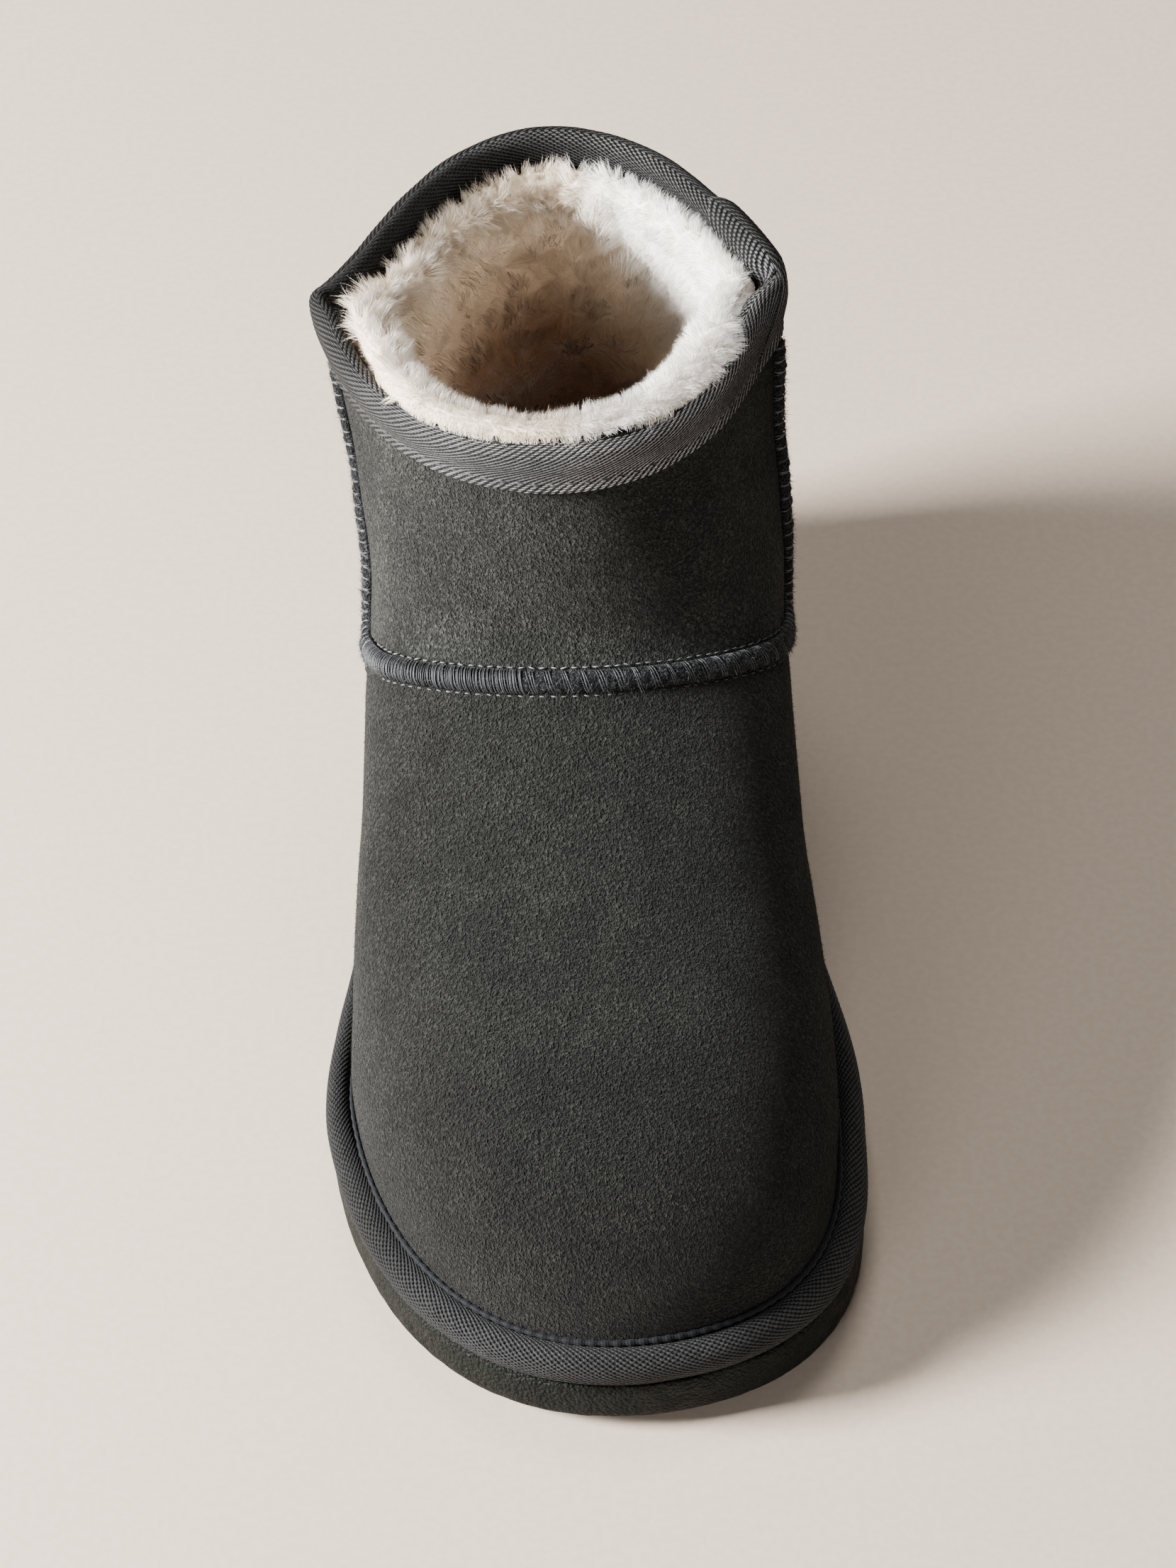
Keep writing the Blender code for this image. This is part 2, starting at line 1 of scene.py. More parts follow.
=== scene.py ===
"""The right boot of a pair of fur-lined suede slipper boots, dressed piece by piece."""

import bmesh
import bpy
import numpy as np
from mathutils import Matrix, Vector
from mathutils.kdtree import KDTree


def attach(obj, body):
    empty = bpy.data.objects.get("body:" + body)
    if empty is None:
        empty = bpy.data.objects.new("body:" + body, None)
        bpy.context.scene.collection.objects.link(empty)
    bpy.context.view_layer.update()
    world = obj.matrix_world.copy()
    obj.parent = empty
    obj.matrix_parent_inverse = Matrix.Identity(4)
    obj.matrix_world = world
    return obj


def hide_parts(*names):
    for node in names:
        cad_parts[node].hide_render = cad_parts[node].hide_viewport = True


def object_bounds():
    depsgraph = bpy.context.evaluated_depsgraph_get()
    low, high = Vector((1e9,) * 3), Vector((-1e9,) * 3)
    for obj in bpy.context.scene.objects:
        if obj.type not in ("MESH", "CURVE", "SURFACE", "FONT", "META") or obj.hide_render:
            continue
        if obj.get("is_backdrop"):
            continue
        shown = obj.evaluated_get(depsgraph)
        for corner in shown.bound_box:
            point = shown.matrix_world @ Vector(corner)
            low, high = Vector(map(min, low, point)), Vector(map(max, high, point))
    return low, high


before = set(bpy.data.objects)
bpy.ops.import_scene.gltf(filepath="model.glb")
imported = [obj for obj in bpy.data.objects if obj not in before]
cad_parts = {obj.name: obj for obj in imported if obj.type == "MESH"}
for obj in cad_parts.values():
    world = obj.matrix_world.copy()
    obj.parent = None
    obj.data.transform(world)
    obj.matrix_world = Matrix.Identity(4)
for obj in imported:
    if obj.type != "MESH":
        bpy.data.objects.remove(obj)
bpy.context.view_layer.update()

# ------------------------------------------------------------------------------------- the upper
# The wall of the boot: charcoal suede with its raw side out, lasted over the foot's form and sewn
# from a vamp, a shaft front and two quarters.  It gathers in soft troughs where the foot bends.

MM = 0.001
WALL = 2.2
FRAME_X, FRAME_Y = -0.45, 1.1               # the middle of the boot stands over the origin

# Rings of the last.  y, z: heel and front points.  heel, waist, ball: half widths.  back, toe: how
# square the ends are.  follow: how far a ring keeps to the bed.  pinch: how far the side seams
# push it out.  shift: lean towards the inner side.  outer: how much fuller its outer side is.
RING_SIZES = ("y_back", "z_back", "y_front", "z_front", "heel", "waist", "ball",
              "back", "toe", "follow", "pinch", "shift", "outer")
RINGS = np.array((
    (127.0, 22.4, -129.0, 15.4, 38.0, 41.5, 53.0, 4.6, 5.0, 1.00, 0.0, 0.0, 0.0),
    (129.0, 33.8, -130.8, 26.4, 39.5, 43.0, 54.0, 4.5, 5.0, 1.00, 0.0, 0.0, 0.0),
    (130.0, 48.0, -126.5, 40.0, 41.0, 44.5, 54.0, 4.2, 4.5, 0.60, 0.0, 0.0, 0.0),
    (128.8, 61.0, -113.0, 52.0, 41.5, 46.0, 52.5, 4.0, 3.7, 0.25, 0.0, 0.3, 0.0),
    (126.0, 74.0, -90.0, 62.0, 42.0, 46.8, 50.5, 3.7, 3.0, 0.00, 0.0, 0.8, 1.2),
    (122.3, 86.0, -61.0, 72.5, 42.0, 46.4, 48.3, 3.4, 2.7, 0.00, 0.2, 1.5, 1.3),
    (118.5, 97.0, -33.0, 84.0, 42.3, 45.8, 46.8, 3.1, 2.5, 0.00, 0.4, 2.3, 0.4),
    (115.8, 108.5, -8.5, 97.0, 42.6, 45.4, 45.4, 2.8, 2.4, 0.00, 0.7, 2.8, 2.2),
    (114.0, 122.0, 3.5, 116.5, 42.6, 45.2, 44.6, 2.5, 2.3, 0.00, 1.2, 2.8, 5.2),
    (112.8, 141.3, 7.3, 143.3, 42.2, 45.8, 44.2, 2.1, 1.95, 0.00, 2.4, 0.6, 4.4),
    (112.0, 153.5, 8.0, 155.5, 42.0, 46.4, 44.0, 1.9, 2.3, 0.00, 3.2, -0.9, 4.8)))
TOP = len(RINGS) - 1
HALF_WIDTHS_AT = (0.15, 0.45, 0.75)
OUTER_AT, OUTER = (0.34, 0.70), (-0.8, 1.0)
SWING_AT, SWING = (0.0, 0.42, 0.72, 1.0), (2.0, 0.0, 0.0, 4.5)
TOE_SKEW, SKEW_FROM, SKEW_OVER = 0.9, 2.2, 2.8       # how much squarer the toe's inner side is
SIDE_SEAM_Z = (22.0, 40.0, 58.0, 75.0, 95.0, 115.0, 135.0, 156.0)
SIDE_SEAM_Y = (48.0, 38.5, 33.5, 33.0, 38.5, 45.5, 52.0, 58.5)
SIDE_SEAM_BULGE = 0.085
FOREFOOT_SOLE, HEEL_SOLE = 13.0, 22.0
WEDGE_FROM, WEDGE_TO = -50.0, 110.0
TREAD_FRONT, TOE_TIP, BED_SPRING = -92.0, -137.0, 2.5


def smooth(x):
    x = np.clip(x, 0.0, 1.0)
    return x * x * (3.0 - 2.0 * x)


def eased(x, stations, values):
    """Value at x, eased from each station to the next."""
    result = np.zeros_like(x) + values[0]
    for start, end, low, high in zip(stations, stations[1:], values, values[1:]):
        result = result + (high - low) * smooth((x - start) / (end - start))
    return result


def bed(y):
    """Height of the sole's upper face along the foot."""
    wedge = smooth((y - WEDGE_FROM) / (WEDGE_TO - WEDGE_FROM))
    spring = np.clip((TREAD_FRONT - y) / (TREAD_FRONT - TOE_TIP), 0.0, None) ** 2
    return FOREFOOT_SOLE + (HEEL_SOLE - FOREFOOT_SOLE) * wedge + BED_SPRING * spring


def ring_sizes(level):
    """Sizes of the ring at a level between the table's rows, on a smooth curve through them."""
    rows = np.vstack([2.0 * RINGS[0] - RINGS[1], RINGS, 2.0 * RINGS[-1] - RINGS[-2]])
    level = np.clip(level, 0.0, TOP)
    row = np.minimum(level.astype(int), TOP - 1)
    s = (level - row)[..., None]
    before, low, high, after = rows[row], rows[row + 1], rows[row + 2], rows[row + 3]
    curve = 0.5 * (2.0 * low + (high - before) * s
                   + (2.0 * before - 5.0 * low + 4.0 * high - after) * s ** 2
                   + (3.0 * low - before - 3.0 * high + after) * s ** 3)
    return dict(zip(RING_SIZES, np.moveaxis(curve, -1, 0)))


def last(level, angle):
    """Point on the last.  angle: round a ring from the heel, pi at the toe, inner side first."""
    level, angle = np.broadcast_arrays(np.asarray(level, float), np.asarray(angle, float))
    ring = ring_sizes(level)
    along = (1.0 - np.cos(angle)) / 2.0
    inner = np.sign(np.sin(angle))
    length = ring["y_back"] - ring["y_front"]
    y = ring["y_back"] - length * along
    half = eased(along, HALF_WIDTHS_AT, (ring["heel"], ring["waist"], ring["ball"]))
    skew = TOE_SKEW * inner * np.clip((ring["toe"] - SKEW_FROM) / SKEW_OVER, 0.0, 1.0)
    squareness = np.where(along < 0.5, ring["back"], ring["toe"] + skew)
    closing = np.sqrt(np.clip(1.0 - np.abs(2.0 * along - 1.0) ** squareness, 0.0, 1.0))
    z_line = ring["z_back"] + (ring["z_front"] - ring["z_back"]) * along
    bed_line = bed(ring["y_back"]) + (bed(ring["y_front"]) - bed(ring["y_back"])) * along
    z = z_line + ring["follow"] * (bed(y) - bed_line)
    from_seam = (y - np.interp(z, SIDE_SEAM_Z, SIDE_SEAM_Y)) / (length * SIDE_SEAM_BULGE)
    bulge = ring["pinch"] * np.exp(-from_seam ** 2)
    swing = eased(along, SWING_AT, SWING) * (1.0 - level / TOP)
    fuller = ring["outer"] * eased(along, OUTER_AT, OUTER) * closing
    x = swing + ring["shift"] + inner * (half * closing + bulge + np.where(inner < 0, fuller, 0.0))
    return np.stack([x + FRAME_X, y + FRAME_Y, z], axis=-1)


def unit(vectors):
    return vectors / np.maximum(np.linalg.norm(vectors, axis=-1, keepdims=True), 1e-9)


def last_directions(level, angle):
    """Unit vectors on the last: outwards, and up along the wall."""
    step = 0.02
    up = last(np.clip(level + step, 0, TOP), angle) - last(np.clip(level - step, 0, TOP), angle)
    along = last(level, angle + step) - last(level, angle - step)
    return unit(np.cross(up, along)), unit(up)


def wall(level, angle, out=0.0, lift=0.0):
    """Point `out` outwards from the last and `lift` further up along it."""
    level, angle = np.broadcast_arrays(np.asarray(level, float), np.asarray(angle, float))
    outwards, upwards = last_directions(level, angle)
    out, lift = np.asarray(out, float)[..., None], np.asarray(lift, float)[..., None]
    return last(level, angle) + out * outwards + lift * upwards


def walked_along(points):
    """Distance walked from the first of a line of points to each of them."""
    return np.concatenate([[0.0], np.cumsum(np.linalg.norm(np.diff(points, axis=0), axis=1))])


def drift(points, size, seed):
    """Soft random drift from -1 to 1 with lumps about `size` across."""
    lattice = np.random.default_rng(seed).uniform(-1.0, 1.0, (24, 24, 24))
    place = points / size + 50.0
    low = np.floor(place).astype(int)
    part = smooth(place - low)
    total = np.zeros(points.shape[:-1])
    for corner in np.ndindex(2, 2, 2):
        share = np.prod(np.where(corner, part, 1.0 - part), axis=-1)
        total += share * lattice[tuple(np.moveaxis((low + corner) % 24, -1, 0))]
    return total


# Soft forms of the worn-in wall: points they run through, half width, height (below 0: trough)
CREASES = (
    (((-46, 22, 88), (-30, 4, 101), (0, -2, 108), (30, 4, 101), (48, 22, 88)), 6.5, -1.5),
    (((-40, 14, 112), (-12, 0, 124), (14, 0, 126), (40, 12, 116)), 15.0, 1.3),
    (((-46, 30, 66), (-32, 4, 82), (0, -17, 91), (32, 4, 82), (46, 30, 66)), 8.0, 0.8),
    (((-42, 42, 128), (-30, 14, 121), (-14, 4, 116)), 8.0, -0.9),
    (((42, 40, 122), (34, 16, 132), (20, 6, 138)), 8.0, -0.8),
    (((-44, 60, 96), (-40, 84, 88), (-30, 108, 92)), 9.0, -1.5),
    (((-46, 52, 116), (-42, 78, 108), (-26, 106, 114)), 9.0, -1.2),
    (((46, 62, 98), (41, 86, 90), (30, 108, 94)), 9.0, -1.4),
    (((47, 56, 118), (42, 80, 110), (26, 106, 116)), 10.0, -1.1),
    (((-48, 0, 58), (-30, -32, 72), (-6, -48, 77)), 13.0, -0.9),
    (((50, -8, 54), (34, -40, 66), (14, -58, 70)), 12.0, -0.7),
    (((-44, -70, 46), (-16, -84, 60), (18, -84, 60), (44, -72, 46)), 16.0, 0.8),
    (((-52, -46, 36), (-40, -58, 52)), 11.0, -0.8),
    (((-20, -104, 46), (14, -106, 46)), 12.0, 0.5),
)
SEWN_LOW, SEWN_HIGH = 1.0, 8.95             # levels where rand and collar are sewn on
SEWN_BAND = 0.45                            # levels over which the forms fade out beside them


def near_line(points, line):
    """Distance from each point to a line through several places."""
    best = np.full(points.shape[:-1], 1e9)
    line = np.array(line, float)
    for start, end in zip(line, line[1:]):
        run = end - start
        part = np.clip((points - start) @ run / (run @ run), 0.0, 1.0)
        best = np.minimum(best, np.linalg.norm(points - start - part[..., None] * run, axis=-1))
    return best


def softness(level, angle):
    """Height of the wall's soft forms above the last."""
    points = last(level, angle)
    height = 0.35 * drift(points, 34.0, 11) + 0.16 * drift(points, 13.0, 12)
    for line, width, rise in CREASES:
        height += rise * np.exp(-(near_line(points, line) / width) ** 2)
    level = np.broadcast_to(level, height.shape)
    return height * smooth((level - SEWN_LOW) / SEWN_BAND) * smooth((SEWN_HIGH - level) / SEWN_BAND)


def suede_at(level, angle, out=0.0, lift=0.0):
    """Point above the finished suede."""
    return wall(level, angle, out + softness(level, angle), lift)


def set_tone(mesh, tone):
    """Give each point of a mesh its own tone."""
    mesh.attributes.new("tone", "FLOAT", "POINT").data.foreach_set("value", tone.astype(np.float32))


def mesh_piece(name, points, faces, uv=None, tone=None, closed=True, lie=None):
    """Smooth-shaded object.  points in mm; faces: arrays of corner numbers; uv: a pair per corner.
    lie: the direction each point faces for the light, where that isn't the faces' own."""
    mesh = bpy.data.meshes.new(name)
    corners = np.concatenate([part.ravel() for part in faces])
    sizes = np.concatenate([np.full(len(part), part.shape[1]) for part in faces])
    mesh.vertices.add(len(points))
    mesh.vertices.foreach_set("co", (points * MM).astype(np.float32).ravel())
    mesh.loops.add(len(corners))
    mesh.loops.foreach_set("vertex_index", corners.astype(np.int32))
    mesh.polygons.add(len(sizes))
    mesh.polygons.foreach_set("loop_start",
                              np.concatenate([[0], np.cumsum(sizes)[:-1]]).astype(np.int32))
    if uv is not None:
        mesh.uv_layers.new(name="weave").data.foreach_set("uv", uv.astype(np.float32).ravel())
    if tone is not None:
        set_tone(mesh, tone)
    mesh.update(calc_edges=True)
    if closed:
        bm = bmesh.new()
        bm.from_mesh(mesh)
        bmesh.ops.recalc_face_normals(bm, faces=bm.faces)
        bm.to_mesh(mesh)
        bm.free()
    mesh.shade_smooth()
    if lie is not None:
        mesh.normals_split_custom_set_from_vertices(lie)
    piece = bpy.data.objects.new(name, mesh)
    bpy.context.scene.collection.objects.link(piece)
    return piece


def grid_faces(rows, columns, ring=True, loop=False):
    """Corner numbers of the faces of a grid of points, and each corner's (column, row)."""
    down, across = np.meshgrid(np.arange(rows if loop else rows - 1),
                               np.arange(columns if ring else columns - 1), indexing="ij")
    steps = ((0, 0), (0, 1), (1, 1), (1, 0))
    faces = [((down + r) % rows) * columns + (across + c) % columns for r, c in steps]
    places = [np.stack([across + c, down + r], axis=-1) for r, c in steps]
    return np.stack(faces, axis=-1).reshape(-1, 4), np.stack(places, axis=2).reshape(-1, 2)


def end_caps(rows, columns):
    """Corner numbers of the faces that close the first and the last row of a grid of points."""
    return np.stack([np.arange(columns), (rows - 1) * columns + np.arange(columns)])


def lofted(name, rows, across=None, down=None, ring=True, loop=False):
    """Piece skinned over rows of points.  across, down: the weave's counts at columns and rows."""
    rows = np.asarray(rows)
    faces, places = grid_faces(*rows.shape[:2], ring, loop)
    uv = None
    if across is not None:
        uv = np.stack([across[places[:, 0]], down[places[:, 1]]], axis=-1)
    return mesh_piece(name, rows.reshape(-1, 3), [faces], uv)


def node(tree, kind, **settings):
    """Shader node.  Settings with a capital are its sockets: a value, or another node's socket."""
    made = tree.nodes.new(kind)
    for name, value in settings.items():
        if name[0].islower():
            setattr(made, name, value)
            continue
        numbered = name.startswith("Input")
        socket = made.inputs[int(name[5:]) if numbered else name.replace("_", " ")]
        if isinstance(value, bpy.types.NodeSocket):
            tree.links.new(value, socket)
        else:
            socket.default_value = value
    return made


def sum_node(tree, operation, first, second=0.0):
    return node(tree, "ShaderNodeMath", operation=operation, Input0=first, Input1=second).outputs[0]


def plus(tree, first, second):
    return sum_node(tree, "ADD", first, second)


def times(tree, first, second):
    return sum_node(tree, "MULTIPLY", first, second)


def parts_of(tree, vector):
    """The three parts of a vector."""
    return node(tree, "ShaderNodeSeparateXYZ", Vector=vector).outputs


def object_place(tree):
    return node(tree, "ShaderNodeTexCoord").outputs["Object"]


def fibre_tone(tree):
    """The tone each fibre or thread was given, 0 to 1."""
    return node(tree, "ShaderNodeAttribute", attribute_name="tone").outputs["Fac"]


def noise(tree, place, scale, detail, **more):
    return node(tree, "ShaderNodeTexNoise", Vector=place, Scale=scale, Detail=detail,
                **more).outputs[0]


def colour_mix(tree, amount, first, second, kind="MIX"):
    """First colour turned towards the second.  Each is red, green, blue or a node's socket."""
    first, second = [(*c, 1.0) if isinstance(c, tuple) else c for c in (first, second)]
    return node(tree, "ShaderNodeMixRGB", blend_type=kind, Fac=amount, Color1=first,
                Color2=second).outputs[0]


def tinted(tree, colour, amount, first, second):
    """Colour multiplied by a tint that runs from first to second."""
    return colour_mix(tree, 1.0, colour, colour_mix(tree, amount, first, second), "MULTIPLY")


def spread(tree, value, low, high, to_low=0.0, to_high=1.0):
    """Value taken from the range low..high to the range to_low..to_high, held at its ends."""
    return node(tree, "ShaderNodeMapRange", Value=value, From_Min=low, From_Max=high, To_Min=to_low,
                To_Max=to_high).outputs[0]


def new_finish(name, roughness, **sockets):
    """Material with its constant sockets set; gives the material, its node tree and its shader."""
    material = bpy.data.materials.new(name)
    material.use_nodes = True
    shader = material.node_tree.nodes["Principled BSDF"]
    shader.inputs["Roughness"].default_value = roughness
    for socket, value in sockets.items():
        shader.inputs[socket.replace("_", " ")].default_value = value
    return material, material.node_tree, shader


def set_bump(tree, shader, height, strength, distance):
    bump = node(tree, "ShaderNodeBump", Height=height, Strength=strength, Distance=distance)
    tree.links.new(bump.outputs[0], shader.inputs["Normal"])


FRONT_SEAM_SLANT = 0.577    # rise of the front seam for each step towards the toe


def suede_painted_light(tree, place, colour):
    """Painted light and shade on the suede: the shaft front painted paler than the vamp, palest on
    its outer (left) side where light grazes it, and the vamp painted darker towards the toe as
    shade.
    """
    x, y, z = parts_of(tree, place)
    over_seam = plus(tree, z, times(tree, y, FRONT_SEAM_SLANT))
    shaft = times(tree, spread(tree, over_seam, 0.093, 0.096), spread(tree, y, 0.05, 0.03))
    vamp_painted_shade = colour_mix(tree, spread(tree, y, -0.045, -0.12), (0.80, 0.80, 0.80),
                           (0.52, 0.52, 0.52))
    shaft_painted_light = colour_mix(tree, spread(tree, x, -0.030, -0.046), (1.38, 1.38, 1.39),
                            (2.0, 1.95, 1.95))
    return tinted(tree, colour, shaft, vamp_painted_shade, shaft_painted_light)


def make_suede(name, dark, mid, light):
    """Raw suede: short worm-like fibres, cloudy patches where the nap lies another way."""
    material, tree, shader = new_finish(name, 0.92, Sheen_Weight=0.03, Sheen_Roughness=0.5,
                                        Specular_IOR_Level=0.10)
    place = object_place(tree)
    combed = node(tree, "ShaderNodeMapping", Vector=place, Scale=(1.0, 0.9, 0.8)).outputs[0]
    fibres = noise(tree, combed, 2700.0, 2.0, Roughness=0.5, Distortion=0.4)
    worms = noise(tree, combed, 1550.0, 1.0, Roughness=0.5, Distortion=0.7)
    clouds = noise(tree, place, 85.0, 4.0, Roughness=0.6, Distortion=0.4)
    patches = noise(tree, place, 22.0, 2.0)
    fine = plus(tree, times(tree, fibres, 0.36), times(tree, worms, 0.64))
    colour = colour_mix(tree, spread(tree, fine, 0.40, 0.50), dark, mid)
    colour = colour_mix(tree, spread(tree, fine, 0.52, 0.64), colour, light)
    colour = tinted(tree, colour, spread(tree, clouds, 0.35, 0.66), (0.74, 0.75, 0.74),
                    (1.25, 1.25, 1.23))
    colour = tinted(tree, colour, spread(tree, patches, 0.35, 0.65), (0.86, 0.87, 0.87),
                    (1.15, 1.15, 1.12))
    # The suede's painted light and shade: a paler shaft front, palest at its left, and a darker
    # toe.
    tree.links.new(suede_painted_light(tree, place, colour), shader.inputs["Base Color"])
    set_bump(tree, shader, fine, 1.0, 0.0028)
    return material


SUEDE = make_suede("charcoal_suede", (0.0034, 0.0037, 0.0033), (0.0096, 0.0101, 0.0093),
                   (0.0262, 0.0270, 0.0252))

UPPER_COLUMNS, UPPER_ROWS, UPPER_INNER_ROWS = 330, 100, 34
turns = 2.0 * np.pi * np.arange(UPPER_COLUMNS) / UPPER_COLUMNS
levels = np.linspace(0.0, TOP, UPPER_ROWS)[:, None]
outer_face = suede_at(levels, turns)
inner_face = wall(np.linspace(TOP, 0.0, UPPER_INNER_ROWS)[:, None], turns, -WALL)
upper = lofted("suede_upper", np.concatenate([outer_face, inner_face]), loop=True)
upper.data.materials.append(SUEDE)
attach(upper, "root")
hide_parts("upper")

# ---------------------------------------------------------------------------------- the suede's nap
# Short fibres brushed up on the raw side of the hide.  They catch the light one by one and blur the
# boot's outline.


def scatter(points, count, random, weight=None):
    """Random places on a grid of points, even by area: places, normals, rows and columns."""
    a, b, c, d = points[:-1, :-1], points[:-1, 1:], points[1:, 1:], points[1:, :-1]
    normals = np.cross(c - a, d - b)
    areas = np.linalg.norm(normals, axis=-1)
    if weight is not None:
        areas = areas * weight
    running = np.cumsum(areas.ravel())
    chosen = np.searchsorted(running, random.uniform(0.0, running[-1], count))
    row, column = np.unravel_index(np.minimum(chosen, areas.size - 1), areas.shape)
    v, u = random.uniform(0.0, 1.0, (2, count, 1))
    places = ((a[row, column] * (1 - u) + b[row, column] * u) * (1 - v)
              + (d[row, column] * (1 - u) + c[row, column] * u) * v)
    return places, unit(normals[row, column]), row + v[:, 0], column + u[:, 0]


def closed_ring(points):
    return np.concatenate([points, points[:, :1]], axis=1)


def hair_piece(name, roots, heads, bends, lengths, widths, random, stations=(0.0, 0.45, 0.8),
               tone=None, lie=None):
    """Tapered ribbons: one for each root, growing along heads and curling towards bends."""
    sides = unit(np.cross(heads, random.normal(size=heads.shape)))
    if lie is not None:
        sides *= np.sign(np.sum(np.cross(sides, heads) * lie, axis=1, keepdims=True)) + 1e-9
    points, shades = [], []
    for part in (*stations, 1.0):
        middle = roots + (heads * part + bends * part ** 2) * lengths[:, None]
        half = sides * (widths * 0.5 * (1.0 - part ** 2))[:, None]
        points.extend([middle] if part == 1.0 else [middle - half, middle + half])
        shades.extend([np.full(len(roots), part)] * (1 if part == 1.0 else 2))
    count, per_hair = len(roots), len(points)
    first = np.arange(count)[:, None] * per_hair
    last_pair = per_hair - 3
    faces = [first + np.array([[k, k + 1, k + 3, k + 2]]) for k in range(0, last_pair, 2)]
    faces.append(first + np.array([[last_pair, last_pair + 1, last_pair + 2]]))
    # Each point's tone runs from 0 at the root to 1 at the tip, times the fibre's own tone, so the
    # fibres' finishes paint their roots darker, as shade.
    shades = np.stack(shades, axis=1)
    if tone is not None:
        shades = shades * tone[:, None]
    if lie is not None:
        lie = np.repeat(unit(lie + 0.35 * np.cross(sides, heads)), per_hair, axis=0)
    return mesh_piece(name, np.stack(points, axis=1).reshape(-1, 3), faces, tone=shades.ravel(),
                      closed=False, lie=lie)


NAP_COUNT = 82000
BOOT_MIDDLE = (0.0, 30.0, 60.0)
nap_random = np.random.default_rng(21)
shown_band = outer_face[10:90]
roots, outwards, row, column = scatter(closed_ring(shown_band), NAP_COUNT, nap_random)
outwards *= np.sign(np.sum(outwards * (roots - BOOT_MIDDLE), axis=1, keepdims=True))
downhill = unit(np.array([0.0, 0.0, -1.0]) - outwards * -outwards[:, 2:])
heads = unit(outwards * 0.42 + downhill * 0.25 + nap_random.normal(0.0, 0.62, roots.shape))
heads += outwards * np.clip(0.22 - np.sum(heads * outwards, axis=1, keepdims=True), 0.0, None)
nap = hair_piece("suede_nap", roots - outwards * 0.05, unit(heads),
                 nap_random.normal(0.0, 0.25, roots.shape),
                 nap_random.uniform(0.35, 0.85, NAP_COUNT),
                 nap_random.uniform(0.06, 0.12, NAP_COUNT), nap_random, stations=(0.0,),
                 tone=nap_random.uniform(0.0, 1.0, NAP_COUNT))
NAP, tree, shader = new_finish("suede_fibres", 0.9, Specular_IOR_Level=0.1)
lit = fibre_tone(tree)
place = object_place(tree)
# Each nap fibre is painted darker at its root as shade and paler towards its tip, with its own
# random tone.
colour = colour_mix(tree, lit, (0.004, 0.0042, 0.004), (0.022, 0.0225, 0.0215))
# The nap takes the suede's painted light and shade as well.
tree.links.new(suede_painted_light(tree, place, colour), shader.inputs["Base Color"])
nap.data.materials.append(NAP)
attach(nap, "root")

# ------------------------------------------------------------------------------ the collar's tape
# Herringbone twill tape folded over the raw edge of suede and fur, sewn through near its lower
# edge.  Its diagonal ribs climb the outer leg, meet along the crest and run down the inner leg.

TAPE = 1.3
TAPE_HEIGHT = 12.2          # of the outer leg
CREST_RADIUS = 2.7
CREST_CENTRE = -WALL / 2.0
TAPE_APEX = TAPE_HEIGHT + CREST_RADIUS * np.pi / 2.0
TAPE_INNER_LEG = 7.6
RIB_PITCH, RIB_LEAN = 1.85, 1.7
THREAD_PITCH = 0.52         # up the tape
STEPS_A_RIB = 6
RIB_RELIEF = np.array((-0.19, 0.0, 0.05, 0.08, 0.06, 0.01))

fine_turns = np.linspace(0.0, 2.0 * np.pi, 2881)
crest_walk = walked_along(wall(TOP, fine_turns, CREST_CENTRE, CREST_RADIUS))
COLLAR_LENGTH = crest_walk[-1]


def turn_at(distance):
    """Angle at a distance along the collar's crest, from the heel round by the inner side."""
    whole = np.floor(distance / COLLAR_LENGTH)
    return np.interp(distance - whole * COLLAR_LENGTH, crest_walk, fine_turns) + 2.0 * np.pi * whole


# Over each side seam the fold is pinched into a small ear: where it stands, how far it is spread
# towards the heel and towards the front, how far it stands out and up, how far its fold is closed.
SEAM_AT_RIM = 1.608                         # angle
INNER_EAR, OUTER_EAR = (np.interp(turn, fine_turns, crest_walk)
                        for turn in (SEAM_AT_RIM, 2 * np.pi - SEAM_AT_RIM))
EARS = ((OUTER_EAR, 2.0, 5.0, 1.6, 0.8, 0.26), (INNER_EAR, 3.0, 5.0, 1.3, -0.6, 0.26))
SAG = 2.6                                   # of the crest at the middle of the front


def collar_sag(angle):
    return SAG * smooth((1.0 - np.cos(angle) - 1.05) / 0.85)


